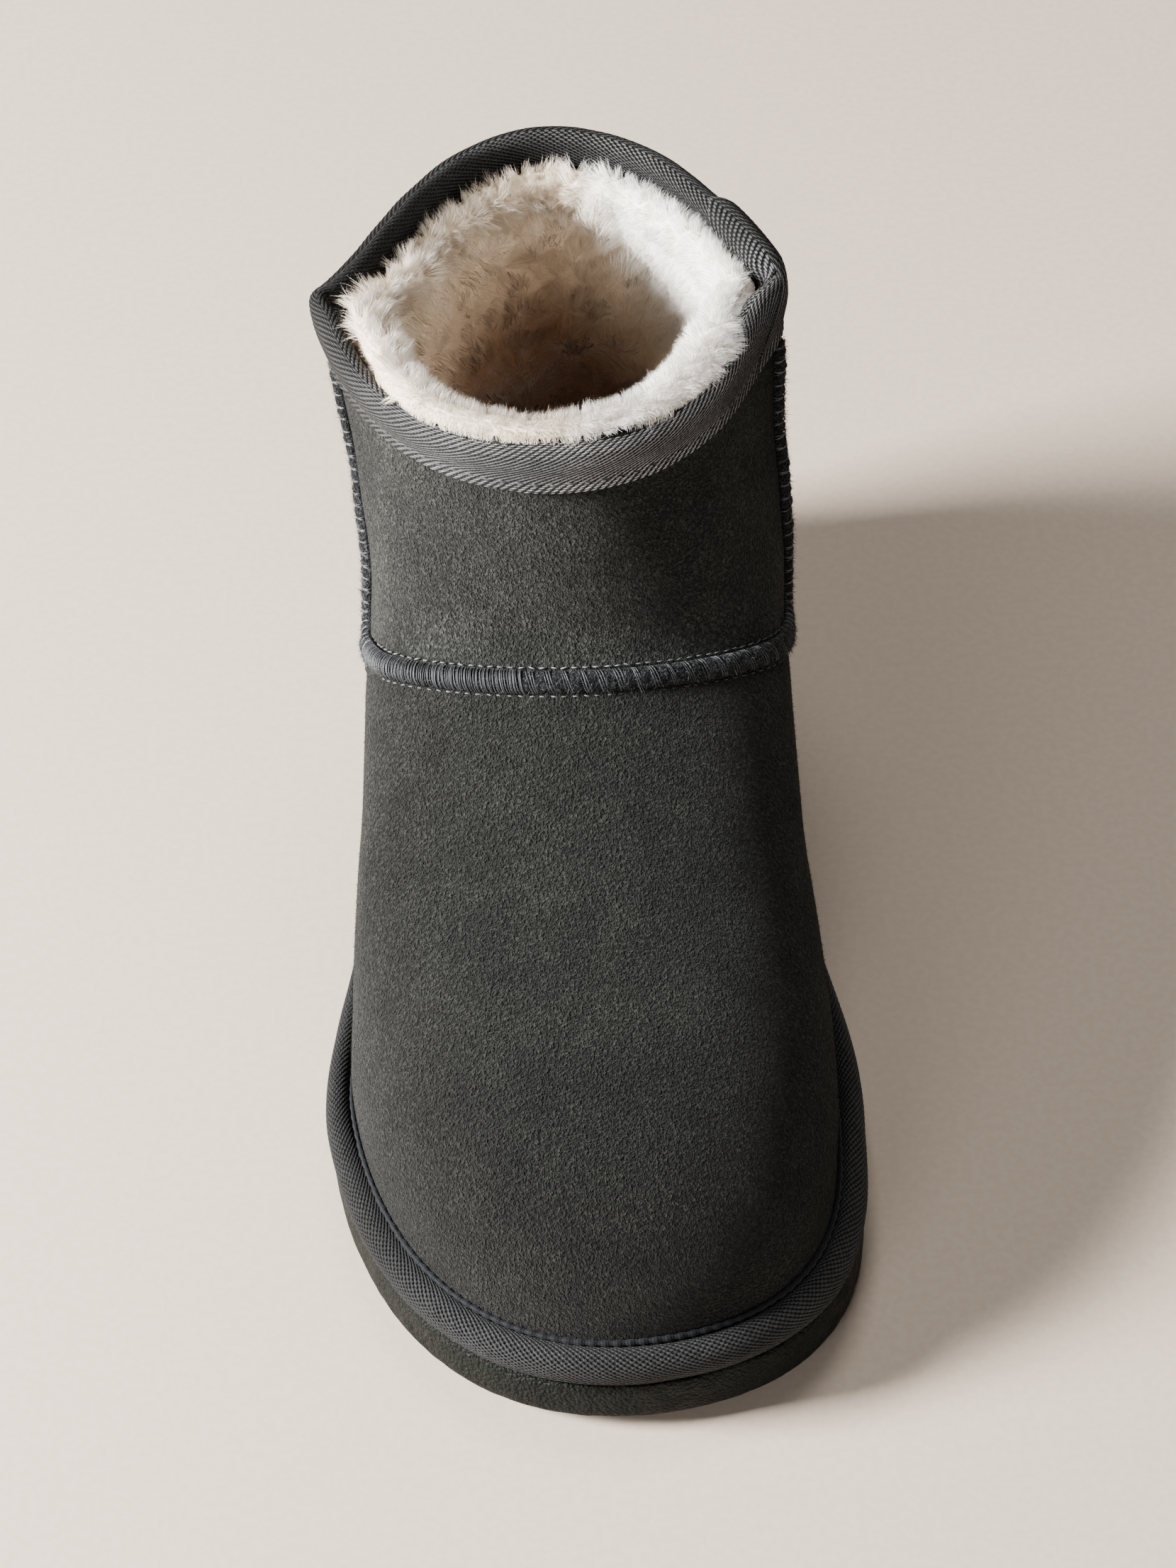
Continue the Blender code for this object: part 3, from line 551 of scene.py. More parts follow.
def collar_at(distance, up, raised=0.0):
    """Point on the folded tape: distance along the collar, up from its edge and over the crest."""
    angle = turn_at(distance)
    turn = np.clip((up - TAPE_HEIGHT) / CREST_RADIUS, 0.0, np.pi)
    down_inside = np.clip(up - TAPE_HEIGHT - CREST_RADIUS * np.pi, 0.0, None)
    level = 9.0 + np.clip(up, 0.0, TAPE_HEIGHT) / TAPE_HEIGHT - down_inside / TAPE_HEIGHT
    around_boot = wall(10.0, angle, 0.0)
    waves = 0.45 * drift(around_boot, 17.0, 31) + 0.2 * drift(around_boot, 6.0, 32)
    belly = 0.55 * np.sin(np.pi * np.clip((up - 2.0) / TAPE_HEIGHT, 0.0, 1.0)) ** 2
    pull = -0.30 * np.exp(-((up - 1.8) / 0.9) ** 2)
    height = smooth(up / TAPE_HEIGHT)
    out, rise, closed = 0.0, -collar_sag(angle), 0.0
    for middle, heelwards, forwards, ear_out, ear_rise, ear_closed in EARS:
        away = (distance - middle + COLLAR_LENGTH / 2.0) % COLLAR_LENGTH - COLLAR_LENGTH / 2.0
        front_side = (away < 0) == (middle > COLLAR_LENGTH / 2.0)
        ear = np.exp(-(away / np.where(front_side, forwards, heelwards)) ** 2)
        out = out + ear_out * ear * height
        rise = rise + ear_rise * ear
        closed = closed + ear_closed * ear * height
    reach = (CREST_RADIUS + raised + belly + 0.25 * waves) * (1.0 - closed) + pull
    edge_wave = 0.18 * drift(around_boot, 5.0, 33) * smooth(1.0 - up / 3.0)
    lift = (reach * np.sin(turn) + edge_wave + waves * height
            + rise * np.clip(up / TAPE_HEIGHT, 0.0, 1.0))
    return wall(level, angle, CREST_CENTRE + reach * np.cos(turn) + out, lift)


def tape_piece(name, start, end, lean, raised, thickness, ups, ring):
    """Length of ribbed tape: its columns run along the ribs, so every rib is a true ridge.
    lean: how far a rib runs along the tape for each step up it."""
    ribs = int(round((end - start) / RIB_PITCH))
    count = ribs * STEPS_A_RIB
    along = start + (end - start) * np.arange(count if ring else count + 1) / count
    relief = RIB_RELIEF[np.arange(len(along)) % STEPS_A_RIB]
    rows = []
    for up in ups:
        where = along + abs(up - TAPE_APEX) * lean
        rows.append(collar_at(where, up, raised(where) + relief))
    for up in ups[::-3]:
        where = along + abs(up - TAPE_APEX) * lean
        rows.append(collar_at(where, up, raised(where) - thickness))
    heights = np.concatenate([ups, ups[::-3], ups[:1]]) / THREAD_PITCH
    return lofted(name, rows, np.arange(len(along) + 1) / STEPS_A_RIB, heights, ring=ring,
                  loop=True)


def make_twill(name, gap_shade, low, high, nick, shades):
    """Twill: each rib a row of short floats, with the gap between ribs and the low parts of each
    float painted dark as shade.  nick: how high a rib stays between its floats.  shades: (axis,
    from, to, tone, tone) for each fade of painted light and shade along the tape."""
    material, tree, shader = new_finish(name, 0.75, Sheen_Weight=0.02, Sheen_Roughness=0.4,
                                        Specular_IOR_Level=0.14)
    weave = node(tree, "ShaderNodeUVMap", uv_map="weave").outputs[0]
    across, up, _ = parts_of(tree, weave)
    place = object_place(tree)
    wander = noise(tree, place, 420.0, 2.0)
    thread = plus(tree, up, times(tree, wander, 0.8))
    thread_part = sum_node(tree, "FRACT", thread)
    rib = plus(tree, across, times(tree, thread_part, 0.30))
    rib = plus(tree, rib, times(tree, wander, 0.16))
    rib_part = sum_node(tree, "FRACT", rib)
    rib_round = sum_node(tree, "SINE", times(tree, spread(tree, rib_part, 0.14, 1.0), np.pi))
    rib_round = spread(tree, rib_round, 0.0, 0.75)
    thread_round = sum_node(tree, "SINE", times(tree, thread_part, np.pi))
    height = times(tree, rib_round, spread(tree, thread_round, 0.0, 0.7, nick, 1.0))
    cell = node(tree, "ShaderNodeCombineXYZ", X=sum_node(tree, "FLOOR", rib),
                Y=sum_node(tree, "FLOOR", thread)).outputs[0]
    each = node(tree, "ShaderNodeTexWhiteNoise", noise_dimensions="2D", Vector=cell).outputs[0]
    lint = noise(tree, place, 2600.0, 2.0)
    # The rib relief sets the colour: the gaps and hollows are painted dark as shade, and each float
    # also has its own random tone.
    bright = plus(tree, times(tree, height, spread(tree, each, 0.0, 1.0, 0.55, 1.0)),
                  spread(tree, lint, 0.3, 0.7, -0.12, 0.12))
    colour = colour_mix(tree, spread(tree, bright, 0.06, 0.30), gap_shade, low)
    colour = colour_mix(tree, spread(tree, bright, 0.28, 0.66), colour, high)
    worn = noise(tree, place, 60.0, 3.0)
    colour = tinted(tree, colour, spread(tree, worn, 0.35, 0.65), (0.85, 0.85, 0.86),
                    (1.12, 1.12, 1.11))
    # Painted light and shade: each fade multiplies the colour along one axis.
    axes = parts_of(tree, place)
    for axis, start, end, first, second in shades:
        tone = spread(tree, axes[axis], start, end, first, second)
        tone = node(tree, "ShaderNodeCombineXYZ", X=tone, Y=tone, Z=tone).outputs[0]
        colour = colour_mix(tree, 1.0, colour, tone, "MULTIPLY")
    tree.links.new(colour, shader.inputs["Base Color"])
    set_bump(tree, shader, plus(tree, height, spread(tree, lint, 0.3, 0.7, 0.0, 0.2)), 1.0, 0.0004)
    return material


# The collar's tape is painted with light and shade along its length: darker on its outer (left)
# side and far darker towards the back, as shade; paler across the front and the inner side, as
# light falling on it.
TWILL = make_twill("herringbone_twill", (0.0006, 0.0006, 0.0008), (0.017, 0.017, 0.018),
                   (0.095, 0.095, 0.097), 0.14,
                   ((0, -0.046, -0.022, 0.6, 2.2), (1, 0.020, 0.070, 1.0, 0.14),
                    (0, -0.004, 0.012, 1.0, 2.1), (0, 0.018, 0.036, 1.0, 0.75)))

over_crest = CREST_RADIUS * np.radians(np.linspace(18, 180, 10))
down_inside = CREST_RADIUS * np.pi + np.array([2.5, 5.0, TAPE_INNER_LEG])
fold_heights = np.concatenate([[0.0, 0.35], np.linspace(1.0, TAPE_HEIGHT, 10),
                               TAPE_HEIGHT + over_crest, TAPE_HEIGHT + down_inside])
tape = tape_piece("collar_tape", 0.0, COLLAR_LENGTH, RIB_LEAN, lambda along: 0.0, TAPE,
                  fold_heights, ring=True)
tape.data.materials.append(TWILL)
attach(tape, "root")
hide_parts("collar_binding")

# The tape's own end is turned over its start behind the inner side seam and sewn flat.
LAP_FROM, LAP_TO = 48.0, INNER_EAR - 1.0    # along the collar from the heel
LAP_LEAN, LAP_THICKNESS, LAP_LOW, LAP_RISE, LAP_SLOPE = 1.2, 0.8, 0.35, 0.95, 8.0


def lap_height(along):
    """Height of the lap over the tape beneath it: it dips where its end is sewn down."""
    return LAP_LOW + LAP_RISE * smooth((LAP_TO + 3.0 - along) / LAP_SLOPE)


lap = tape_piece("tape_lap", LAP_FROM, LAP_TO, LAP_LEAN, lap_height, LAP_THICKNESS,
                 fold_heights[1:-2], ring=False)
lap.data.materials.append(TWILL)
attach(lap, "root")
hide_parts("binding_lap")

# ---------------------------------------------------------------------------- the tape's stitches
# One row of lockstitch holds the folded tape: dark thread pulled into it just above its lower edge.

THREAD_END = 0.35           # of a thread's width, left at its ends


def threads(name, paths, ups, radius, sides=5, tone=None):
    """Round threads: paths (threads, points, 3), ups across them, radius for each or for all."""
    count, steps = paths.shape[:2]
    tangents = unit(np.gradient(paths, axis=1))
    side = unit(np.cross(tangents, ups))
    top = np.cross(side, tangents)
    taper = np.ones(steps)
    taper[[0, -1]] = THREAD_END
    size = np.broadcast_to(np.asarray(radius, float).reshape(-1, 1), (count, steps)) * taper
    points = []
    for turn in 2.0 * np.pi * np.arange(sides) / sides:
        offset = np.cos(turn) * side + np.sin(turn) * top
        points.append(paths + offset * size[..., None])
    points = np.stack(points, axis=2)
    faces, _ = grid_faces(steps, sides)
    first = np.arange(count)[:, None, None] * steps * sides
    caps = np.stack([np.arange(sides)[::-1], (steps - 1) * sides + np.arange(sides)])
    shades = None if tone is None else np.repeat(tone, steps * sides)
    return mesh_piece(name, points.reshape(-1, 3),
                      [(first + faces).reshape(-1, 4), (first + caps).reshape(-1, sides)],
                      tone=shades)


def make_yarn(name, low, high, roughness=0.55, gloss=0.35):
    """Sewing thread: twisted, with a satin gloss; the tone of each thread runs from low to high."""
    material, tree, shader = new_finish(name, roughness, Sheen_Weight=0.05,
                                        Specular_IOR_Level=gloss)
    place = object_place(tree)
    lit = fibre_tone(tree)
    twist = noise(tree, place, 4200.0, 2.0)
    mixed = plus(tree, lit, spread(tree, twist, 0.3, 0.7, -0.25, 0.25))
    tree.links.new(colour_mix(tree, spread(tree, mixed, 0.0, 1.0), low, high),
                   shader.inputs["Base Color"])
    set_bump(tree, shader, twist, 0.5, 0.0001)
    return material


DARK_THREAD = make_yarn("dark_thread", (0.005, 0.006, 0.007), (0.022, 0.024, 0.028))
STITCH_PITCH, STITCH_LENGTH, STITCH_HEIGHT = 3.8, 3.2, 1.8
stitch_random = np.random.default_rng(41)
count = int(COLLAR_LENGTH / STITCH_PITCH)
middles = COLLAR_LENGTH * np.arange(count) / count + stitch_random.normal(0.0, 0.12, count)
parts = np.linspace(-0.5, 0.5, 6)
where = middles[:, None] + parts * STITCH_LENGTH
heights = STITCH_HEIGHT + stitch_random.normal(0.0, 0.08, count)[:, None] + 0 * parts
paths = collar_at(where, heights, 0.10 - 0.7 * (2 * parts) ** 4)
outs = last_directions(np.full(where.shape, 9.2), turn_at(where))[0]
stitches = threads("tape_stitches", paths, outs, 0.24, tone=stitch_random.uniform(0.2, 1.0, count))
stitches.data.materials.append(DARK_THREAD)
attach(stitches, "root")

# ------------------------------------------------------------------------------- the raised seams
# Vamp, shaft front and quarters are butted and overlocked: a padded ridge wrapped in satin thread
# across the instep, sparser up the sides, with a pale lockstitch along both of its edges.

FRONT_SEAM_SIDE, FRONT_SEAM_MIDDLE = (32.0, 76.0), (-7.0, 98.5)
SEAM_CORNER_RISE, SEAM_CORNER_TURN = 0.7, 0.20
SEAM_LOW, SEAM_HIGH = 1.02, 8.96
SEAM_HALF, SEAM_CROWN = 2.5, 2.2


def side_seam_turn(level):
    """Angle at which the side seam crosses a ring."""
    turns = np.linspace(0.6, 2.6, 241)
    ring = last(np.full(turns.shape, level), turns)
    behind = ring[:, 1] - FRAME_Y - np.interp(ring[:, 2], SIDE_SEAM_Z, SIDE_SEAM_Y)
    return np.interp(0.0, -behind, turns)


def front_seam_level(turn):
    """Level at which the front seam's slanting line crosses the wall at an angle."""
    levels = np.linspace(2.5, 8.5, 241)
    line = last(levels, np.full(levels.shape, turn))
    (side_y, side_z), (middle_y, middle_z) = FRONT_SEAM_SIDE, FRONT_SEAM_MIDDLE
    part = (side_y - (line[:, 1] - FRAME_Y)) / (side_y - middle_y)
    return np.interp(0.0, line[:, 2] - (side_z + (middle_z - side_z) * part), levels)


def seam_corner():
    levels = np.linspace(3.0, 6.5, 351)
    ahead = [front_seam_level(side_seam_turn(level)) - level for level in levels]
    level = np.interp(0.0, -np.array(ahead), levels)
    return level, side_seam_turn(level)


def evenly(path, spacing):
    """Levels and angles at even steps along a seam, and the distance walked."""
    points = wall(path[:, 0], path[:, 1])
    walked = walked_along(points)
    steps = np.linspace(0.0, walked[-1], int(walked[-1] / spacing) + 1)
    return np.stack([np.interp(steps, walked, path[:, k]) for k in (0, 1)], axis=1), steps


corner_level, corner_turn = seam_corner()
start = np.array([corner_level + SEAM_CORNER_RISE, side_seam_turn(corner_level + SEAM_CORNER_RISE)])
end = np.array([front_seam_level(corner_turn + SEAM_CORNER_TURN), corner_turn + SEAM_CORNER_TURN])
part = np.linspace(0.0, 1.0, 13)[:, None]
corner = np.array([corner_level, corner_turn])
bend = (1 - part) ** 2 * start + 2 * part * (1 - part) * corner + part ** 2 * end
down_side = [(high, side_seam_turn(high)) for high in np.linspace(SEAM_HIGH, start[0], 40)[:-1]]
over_instep = [(front_seam_level(turn), turn) for turn in np.linspace(end[1], np.pi, 40)[1:]]
inner_half = np.concatenate([down_side, bend, over_instep])
whole_seam = np.concatenate([inner_half, inner_half[-2::-1] * (1.0, -1.0) + (0.0, 2.0 * np.pi)])


class SeamLine:
    """A seam's line on the suede: gives points across and above it at any distance along it."""

    def __init__(self, path):
        self.path, self.steps = evenly(path, 0.5)
        self.length = self.steps[-1]
        self.centre = suede_at(self.path[:, 0], self.path[:, 1], 0.15)
        self.out = last_directions(self.path[:, 0], self.path[:, 1])[0]
        self.across = unit(np.cross(np.gradient(self.centre, axis=0), self.out))

    def at(self, distance, across, up):
        """Point at a distance along the seam, across it (mm) and up from the suede."""
        distance = np.clip(distance, 0.0, self.length)
        centre, aside, out = [self.between(distance, part)
                              for part in (self.centre, self.across, self.out)]
        return centre + np.asarray(across)[..., None] * aside + np.asarray(up)[..., None] * out

    def outward(self, distance):
        return unit(self.between(distance, self.out))

    def between(self, distance, part):
        """One of the seam's three vectors at a distance along it."""
        return np.stack([np.interp(distance, self.steps, part[:, k]) for k in range(3)], axis=-1)


def ridge_height(across, half=SEAM_HALF, crown=SEAM_CROWN):
    """Rounded section of the ridge."""
    return crown * np.sqrt(np.clip(1.0 - (np.abs(across) / half) ** 2.4, 0.0, 1.0))


def ridge(name, line, start, end, half, crown, seed, tied):
    """Padded core of a seam between two distances along it, drawn in where its threads are tied."""
    steps = np.linspace(start, end, int((end - start) / 0.42) + 1)[:, None]
    across = half * np.sin(np.linspace(-np.pi / 2, np.pi / 2, 13))
    up = ridge_height(across, half, crown)
    base = line.at(steps, across, 0 * across)
    nearest = np.abs(steps - tied[None, :]).min(axis=1, keepdims=True)
    drawn = np.exp(-(nearest / 0.65) ** 2)
    lumps = 1.05 - 0.24 * drawn + 0.13 * drift(base, 2.4, seed) + 0.09 * drift(base, 0.9, seed + 1)
    across = across * (1.0 - 0.13 * drawn)
    from_end = np.minimum(steps - start, end - steps) / 1.6
    ends = np.sqrt(np.clip(1.0 - (1.0 - from_end).clip(0) ** 2, 0, 1))
    rows = line.at(steps, across * (0.35 + 0.65 * ends), up * lumps * (0.15 + 0.85 * ends) - 0.15)
    under = line.at(steps, across[:, -2:0:-1] * 0.9, 0 * across[:, -2:0:-1] - 0.5)
    rows = np.concatenate([rows, under], axis=1)
    faces, _ = grid_faces(*rows.shape[:2])
    return mesh_piece(name, rows.reshape(-1, 3), [faces, end_caps(*rows.shape[:2])])


def wraps(line, starts, slants, half, crown, sunk=0.0, steps=9):
    """Paths of threads wrapped over the ridge, each leaning along the seam by its slant."""
    part = np.linspace(-1.0, 1.0, steps)
    sunk = np.broadcast_to(sunk, starts.shape)[:, None]
    across = half * np.sin(part * np.pi / 2) * (1.05 - 0.10 * sunk)
    distance = starts[:, None] + slants[:, None] * part * 0.5
    up = ridge_height(half * np.sin(part * np.pi / 2), half, crown) * (1.05 - 0.20 * sunk) + 0.04
    up = np.where(np.abs(part) > 0.95, -0.1, up)
    paths = line.at(distance, across, up)
    return paths, line.outward(distance)


SEAM_THREAD = make_yarn("overlock_thread", (0.003, 0.0038, 0.005), (0.100, 0.107, 0.118), 0.55)
PALE_THREAD = make_yarn("pale_thread", (0.022, 0.024, 0.027), (0.15, 0.155, 0.16), 0.6)
SEAM_CORE = make_suede("seam_core", (0.0015, 0.0015, 0.0018), (0.007, 0.0075, 0.009),
                       (0.030, 0.032, 0.036))

seam_random = np.random.default_rng(51)
shaft_line = SeamLine(whole_seam)
middle = shaft_line.length / 2.0
FRONT_HALF = 60.0           # from the middle of the instep to where the seam turns up the side

RUNG_PITCH, GROUP_PITCH, CLOSE_PITCH = 3.05, 3.8, 0.9
RUNG_PAIR, RUNG_SLANTS = np.array((-0.12, 0.14)), (1.2, -0.5)
rungs = np.concatenate([np.arange(2.0, middle - FRONT_HALF, RUNG_PITCH),
                        np.arange(middle + FRONT_HALF, 2.0 * middle - 2.0, RUNG_PITCH)])
groups = np.arange(middle - FRONT_HALF + 2.5, middle + 12.0, GROUP_PITCH)
core = ridge("shaft_seam_core", shaft_line, 0.2, shaft_line.length - 0.2, SEAM_HALF, SEAM_CROWN, 52,
             np.concatenate([rungs, groups]))
core.data.materials.append(SEAM_CORE)
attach(core, "root")
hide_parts("shaft_seam")

# Satin wraps: close over the outer half of the instep, in slanting threes over the inner half, in
# pale rungs of two up the sides
close = np.repeat(np.arange(middle + 13.0, middle + FRONT_HALF, CLOSE_PITCH), 2)
close[1::2] += 0.36
grouped = (groups[:, None] + np.arange(-1, 2) * 0.58).ravel()
sides = (rungs[:, None] + RUNG_PAIR).ravel()
starts = np.concatenate([close, grouped, sides])
slants = np.concatenate([np.full(len(close), 1.5), np.full(len(grouped), 2.2),
                         np.tile(RUNG_SLANTS, len(rungs))])
tones = np.concatenate([np.tile((0.27, 0.03), len(close) // 2), np.full(len(grouped), 0.2),
                        np.full(len(sides), 0.7)])
tones = np.clip(tones * seam_random.uniform(0.3, 1.6, len(starts)), 0.0, 1.0)
sunk = np.concatenate([np.full(len(close), 0.0), np.full(len(grouped), 0.8),
                       np.full(len(sides), 1.0)])
slants = slants + seam_random.normal(0.0, 0.25, len(starts))
starts = starts + seam_random.normal(0.0, 0.10, len(starts))
paths, outs = wraps(shaft_line, starts, slants, SEAM_HALF, SEAM_CROWN, sunk)
wrap = threads("shaft_seam_wraps", paths, outs, seam_random.uniform(0.15, 0.22, len(starts)),
               sides=4, tone=tones)
wrap.data.materials.append(SEAM_THREAD)
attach(wrap, "root")

# Loose ends and lint of the wraps, lying over the ridge
LINT_COUNT = 12000
where = seam_random.uniform(0.5, shaft_line.length - 0.5, LINT_COUNT)
over = seam_random.uniform(-0.98, 0.98, LINT_COUNT)
roots = shaft_line.at(where, SEAM_HALF * over, ridge_height(SEAM_HALF * over) * 0.93)
outs = shaft_line.outward(where)
ahead = shaft_line.at(where + 0.5, SEAM_HALF * over - 0.5, ridge_height(SEAM_HALF * over) * 0.93)
heads = unit(unit(ahead - roots) + 0.35 * outs + seam_random.normal(0.0, 0.55, roots.shape))
up_side = smooth((np.abs(where - middle) - FRONT_HALF + 4.0) / 8.0)
bends = seam_random.normal(0.0, 0.4, roots.shape)
lengths, widths = [seam_random.uniform(*span, LINT_COUNT) for span in ((0.5, 1.3), (0.08, 0.16))]
tones = 0.7 * seam_random.uniform(0.0, 0.6, LINT_COUNT) ** 1.7 + 0.45 * up_side
lint = hair_piece("shaft_seam_lint", roots, heads, bends, lengths, widths, seam_random,
                  stations=(0.0,), tone=tones)
lint.data.materials.append(SEAM_THREAD)
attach(lint, "root")

# Pale lockstitch along both edges
DASH_PITCH, DASH_LENGTH = 2.4, 1.7
dashes, dash_tones = [], []
for edge in (-1.0, 1.0):
    at = np.arange(middle - FRONT_HALF + 4.0, middle + FRONT_HALF - 2.0, DASH_PITCH)
    at = at + seam_random.normal(0.0, 0.12, len(at))
    dash_tones.append(smooth((at - middle + 18.0) / 16.0) * seam_random.uniform(0.35, 1.0, len(at)))
    part = np.linspace(-0.5, 0.5, 5)
    lean = seam_random.normal(0.0, 0.12, len(at))[:, None]
    aside = edge * (SEAM_HALF + 0.62) + lean * part * 2
    up = 0.20 - 0.55 * (2 * part) ** 4 + 0 * at[:, None]
    dashes.append(shaft_line.at(at[:, None] + part * DASH_LENGTH, aside, up))
dash_paths = np.concatenate(dashes)
dash_outs = unit(dash_paths - (0.0, 40.0, 70.0))
dash = threads("shaft_seam_stitches", dash_paths, dash_outs, 0.16, tone=np.concatenate(dash_tones))
dash.data.materials.append(PALE_THREAD)
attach(dash, "root")

# Quarter seams: the same seam, flatter, from each corner down to the sole
QUARTER_HALF, QUARTER_CROWN = 1.9, 1.6
for name, side in (("inner", 1.0), ("outer", -1.0)):
    levels = np.linspace(corner_level - 0.28, SEAM_LOW, 40)
    path = np.array([(level, side * side_seam_turn(level)) for level in levels])
    line = SeamLine(path)
    rungs = np.arange(0.8, line.length - 1.0, RUNG_PITCH)
    core = ridge(f"quarter_seam_{name}_core", line, 0.0, line.length, QUARTER_HALF, QUARTER_CROWN,
                 55, rungs)
    core.data.materials.append(SEAM_CORE)
    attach(core, "root")
    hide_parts(f"quarter_seam_{name}")
    starts = (rungs[:, None] + RUNG_PAIR).ravel()
    slants = np.tile(RUNG_SLANTS, len(rungs)) + seam_random.normal(0, 0.2, len(starts))
    paths, outs = wraps(line, starts, slants, QUARTER_HALF, QUARTER_CROWN, 1.0)
    wrap = threads(f"quarter_seam_{name}_wraps", paths, outs, 0.18, sides=4,
                   tone=seam_random.uniform(0.2, 0.8, len(starts)))
    wrap.data.materials.append(SEAM_THREAD)
    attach(wrap, "root")

# --------------------------------------------------------------------------------- the heel stay
# A shaped suede patch over the back seam, its edges turned under and held by a corded stitch line.

STAY = 1.3
STAY_LEVELS = (0.95, 2.0, 3.0, 4.0, 5.0, 6.0, 7.0, 8.0, 8.96)
STAY_HALF_WIDTHS = (36.0, 31.0, 24.0, 17.5, 13.0, 10.5, 9.0, 8.2, 8.0)


def turn_beside_heel(level, distance):
    """Angle on a ring at a distance from the heel, measured along it (less than 0: outer side)."""
    turns = np.linspace(-1.6, 1.6, 641)
    ring = last(np.full(turns.shape, level), turns)
    walked = walked_along(ring)
    return np.interp(distance, walked - np.interp(0.0, turns, walked), turns)


STAY_COLUMNS, STAY_ROWS = 33, 90
STAY_STITCH_INSET, STAY_STITCH_PITCH, STAY_STITCH_LENGTH = 2.6, 3.1, 2.5
stay_rows = []
across = np.sin(np.linspace(-np.pi / 2, np.pi / 2, STAY_COLUMNS))
for level in np.linspace(STAY_LEVELS[0], STAY_LEVELS[-1], STAY_ROWS):
    half = np.interp(level, STAY_LEVELS, STAY_HALF_WIDTHS)
    turns = turn_beside_heel(level, across * half)
    edge = half * (1.0 - np.abs(across))
    height = 0.35 + STAY * np.sqrt(1.0 - (1.0 - np.clip(edge / 1.2, 0.0, 1.0)) ** 2)
    height = height - 0.40 * np.exp(-((edge - STAY_STITCH_INSET) / 0.6) ** 2)
    face = suede_at(np.full(turns.shape, level), turns, height)
    back = suede_at(np.full(turns.shape, level), turns, 0.10)
    stay_rows.append(np.concatenate([face, back[-2:0:-1]]))
stay_rows = np.array(stay_rows)
faces, _ = grid_faces(*stay_rows.shape[:2])
stay = mesh_piece("heel_stay_patch", stay_rows.reshape(-1, 3),
                  [faces, end_caps(*stay_rows.shape[:2])])
stay.data.materials.append(SUEDE)
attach(stay, "root")
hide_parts("heel_stay")

stay_paths = []
for side in (-1.0, 1.0):
    stay_levels = np.linspace(1.1, 8.9, 520)
    halves = np.interp(stay_levels, STAY_LEVELS, STAY_HALF_WIDTHS)
    turns = np.array([turn_beside_heel(level, side * (half - STAY_STITCH_INSET))
                      for level, half in zip(stay_levels, halves)])
    walked = walked_along(suede_at(stay_levels, turns, 1.35))
    starts = np.arange(0.5, walked[-1] - 3.0, STAY_STITCH_PITCH)
    where = starts[:, None] + np.linspace(0.0, STAY_STITCH_LENGTH, 6)
    dip = 0.25 - 0.6 * (2 * np.linspace(-0.5, 0.5, 6)) ** 4
    level_there, turn_there = [np.interp(where, walked, values) for values in (stay_levels, turns)]
    stay_paths.append(suede_at(level_there, turn_there, 1.15 + dip))
stay_paths = np.concatenate(stay_paths)
outs = unit(stay_paths - (0.0, 80.0, 70.0))
tones = seam_random.uniform(0.3, 1.0, len(stay_paths))
stay_stitches = threads("heel_stay_stitches", stay_paths, outs, 0.22, tone=tones)
stay_stitches.data.materials.append(SEAM_THREAD)
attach(stay_stitches, "root")

# ------------------------------------------------------------------------------------- the rand
# A foam cord covered with the collar's herringbone tape, cemented round the foot of the wall where
# it meets the sole.

RAND_RISE = 11.2
# Sections of the covering beside the foot and at the toe: out from the wall, up from the sole
RAND_SECTION = np.array((
    (0.45, 2.4), (0.5, 0.35), (3.2, 0.25), (5.6, 0.35), (6.55, 1.4), (7.05, 2.8), (7.15, 4.3),
    (6.9, 5.8), (6.35, 7.2), (5.5, 8.35), (4.45, 9.0), (3.3, 9.0), (2.3, 8.3), (1.5, 7.0),
    (1.0, 5.2), (0.8, 4.0)))
TOE_SECTION = np.array((
    (0.45, 2.4), (0.5, 0.35), (3.2, 0.25), (5.6, 0.35), (6.5, 1.3), (7.05, 2.5), (7.2, 3.9),
    (7.0, 5.3), (6.5, 6.7), (5.75, 7.95), (4.7, 9.1), (3.5, 9.95), (2.3, 10.4), (1.2, 10.4),
    (0.6, 9.9), (0.5, 8.4)))
RAND_RIB_PITCH, RAND_LEAN = 1.62, 1.6
# The rand's tape is painted darker on its outer (left) side as shade, and a little paler on its
# inner side as light.
RAND_TWILL = make_twill("rand_twill", (0.0004, 0.0004, 0.0005), (0.0045, 0.0045, 0.005),
                        (0.028, 0.029, 0.031), 0.62,
                        ((0, -0.048, -0.028, 0.40, 1.0), (0, 0.020, 0.045, 1.0, 1.1)))

section_walk = walked_along(RAND_SECTION)
IN_PLAN = np.array((1.0, 1.0, 0.0))


def rand_section(place, at_toe):
    """Out and up at a distance round the section; at_toe: share of the toe's section in it."""
    side, toe = [[np.interp(place, section_walk, section[:, k]) for k in (0, 1)]
                 for section in (RAND_SECTION, TOE_SECTION)]
    return [(1.0 - at_toe) * a + at_toe * b for a, b in zip(side, toe)]


def foot_line(level, turn, out, height):
    """Point `out` from the wall in plan, its height given by a function of y."""
    outwards = last_directions(level, turn)[0] * IN_PLAN
    points = last(level, turn) + np.asarray(out)[..., None] * unit(outwards)
    points[..., 2] = height(points[..., 1] - FRAME_Y)
    return points


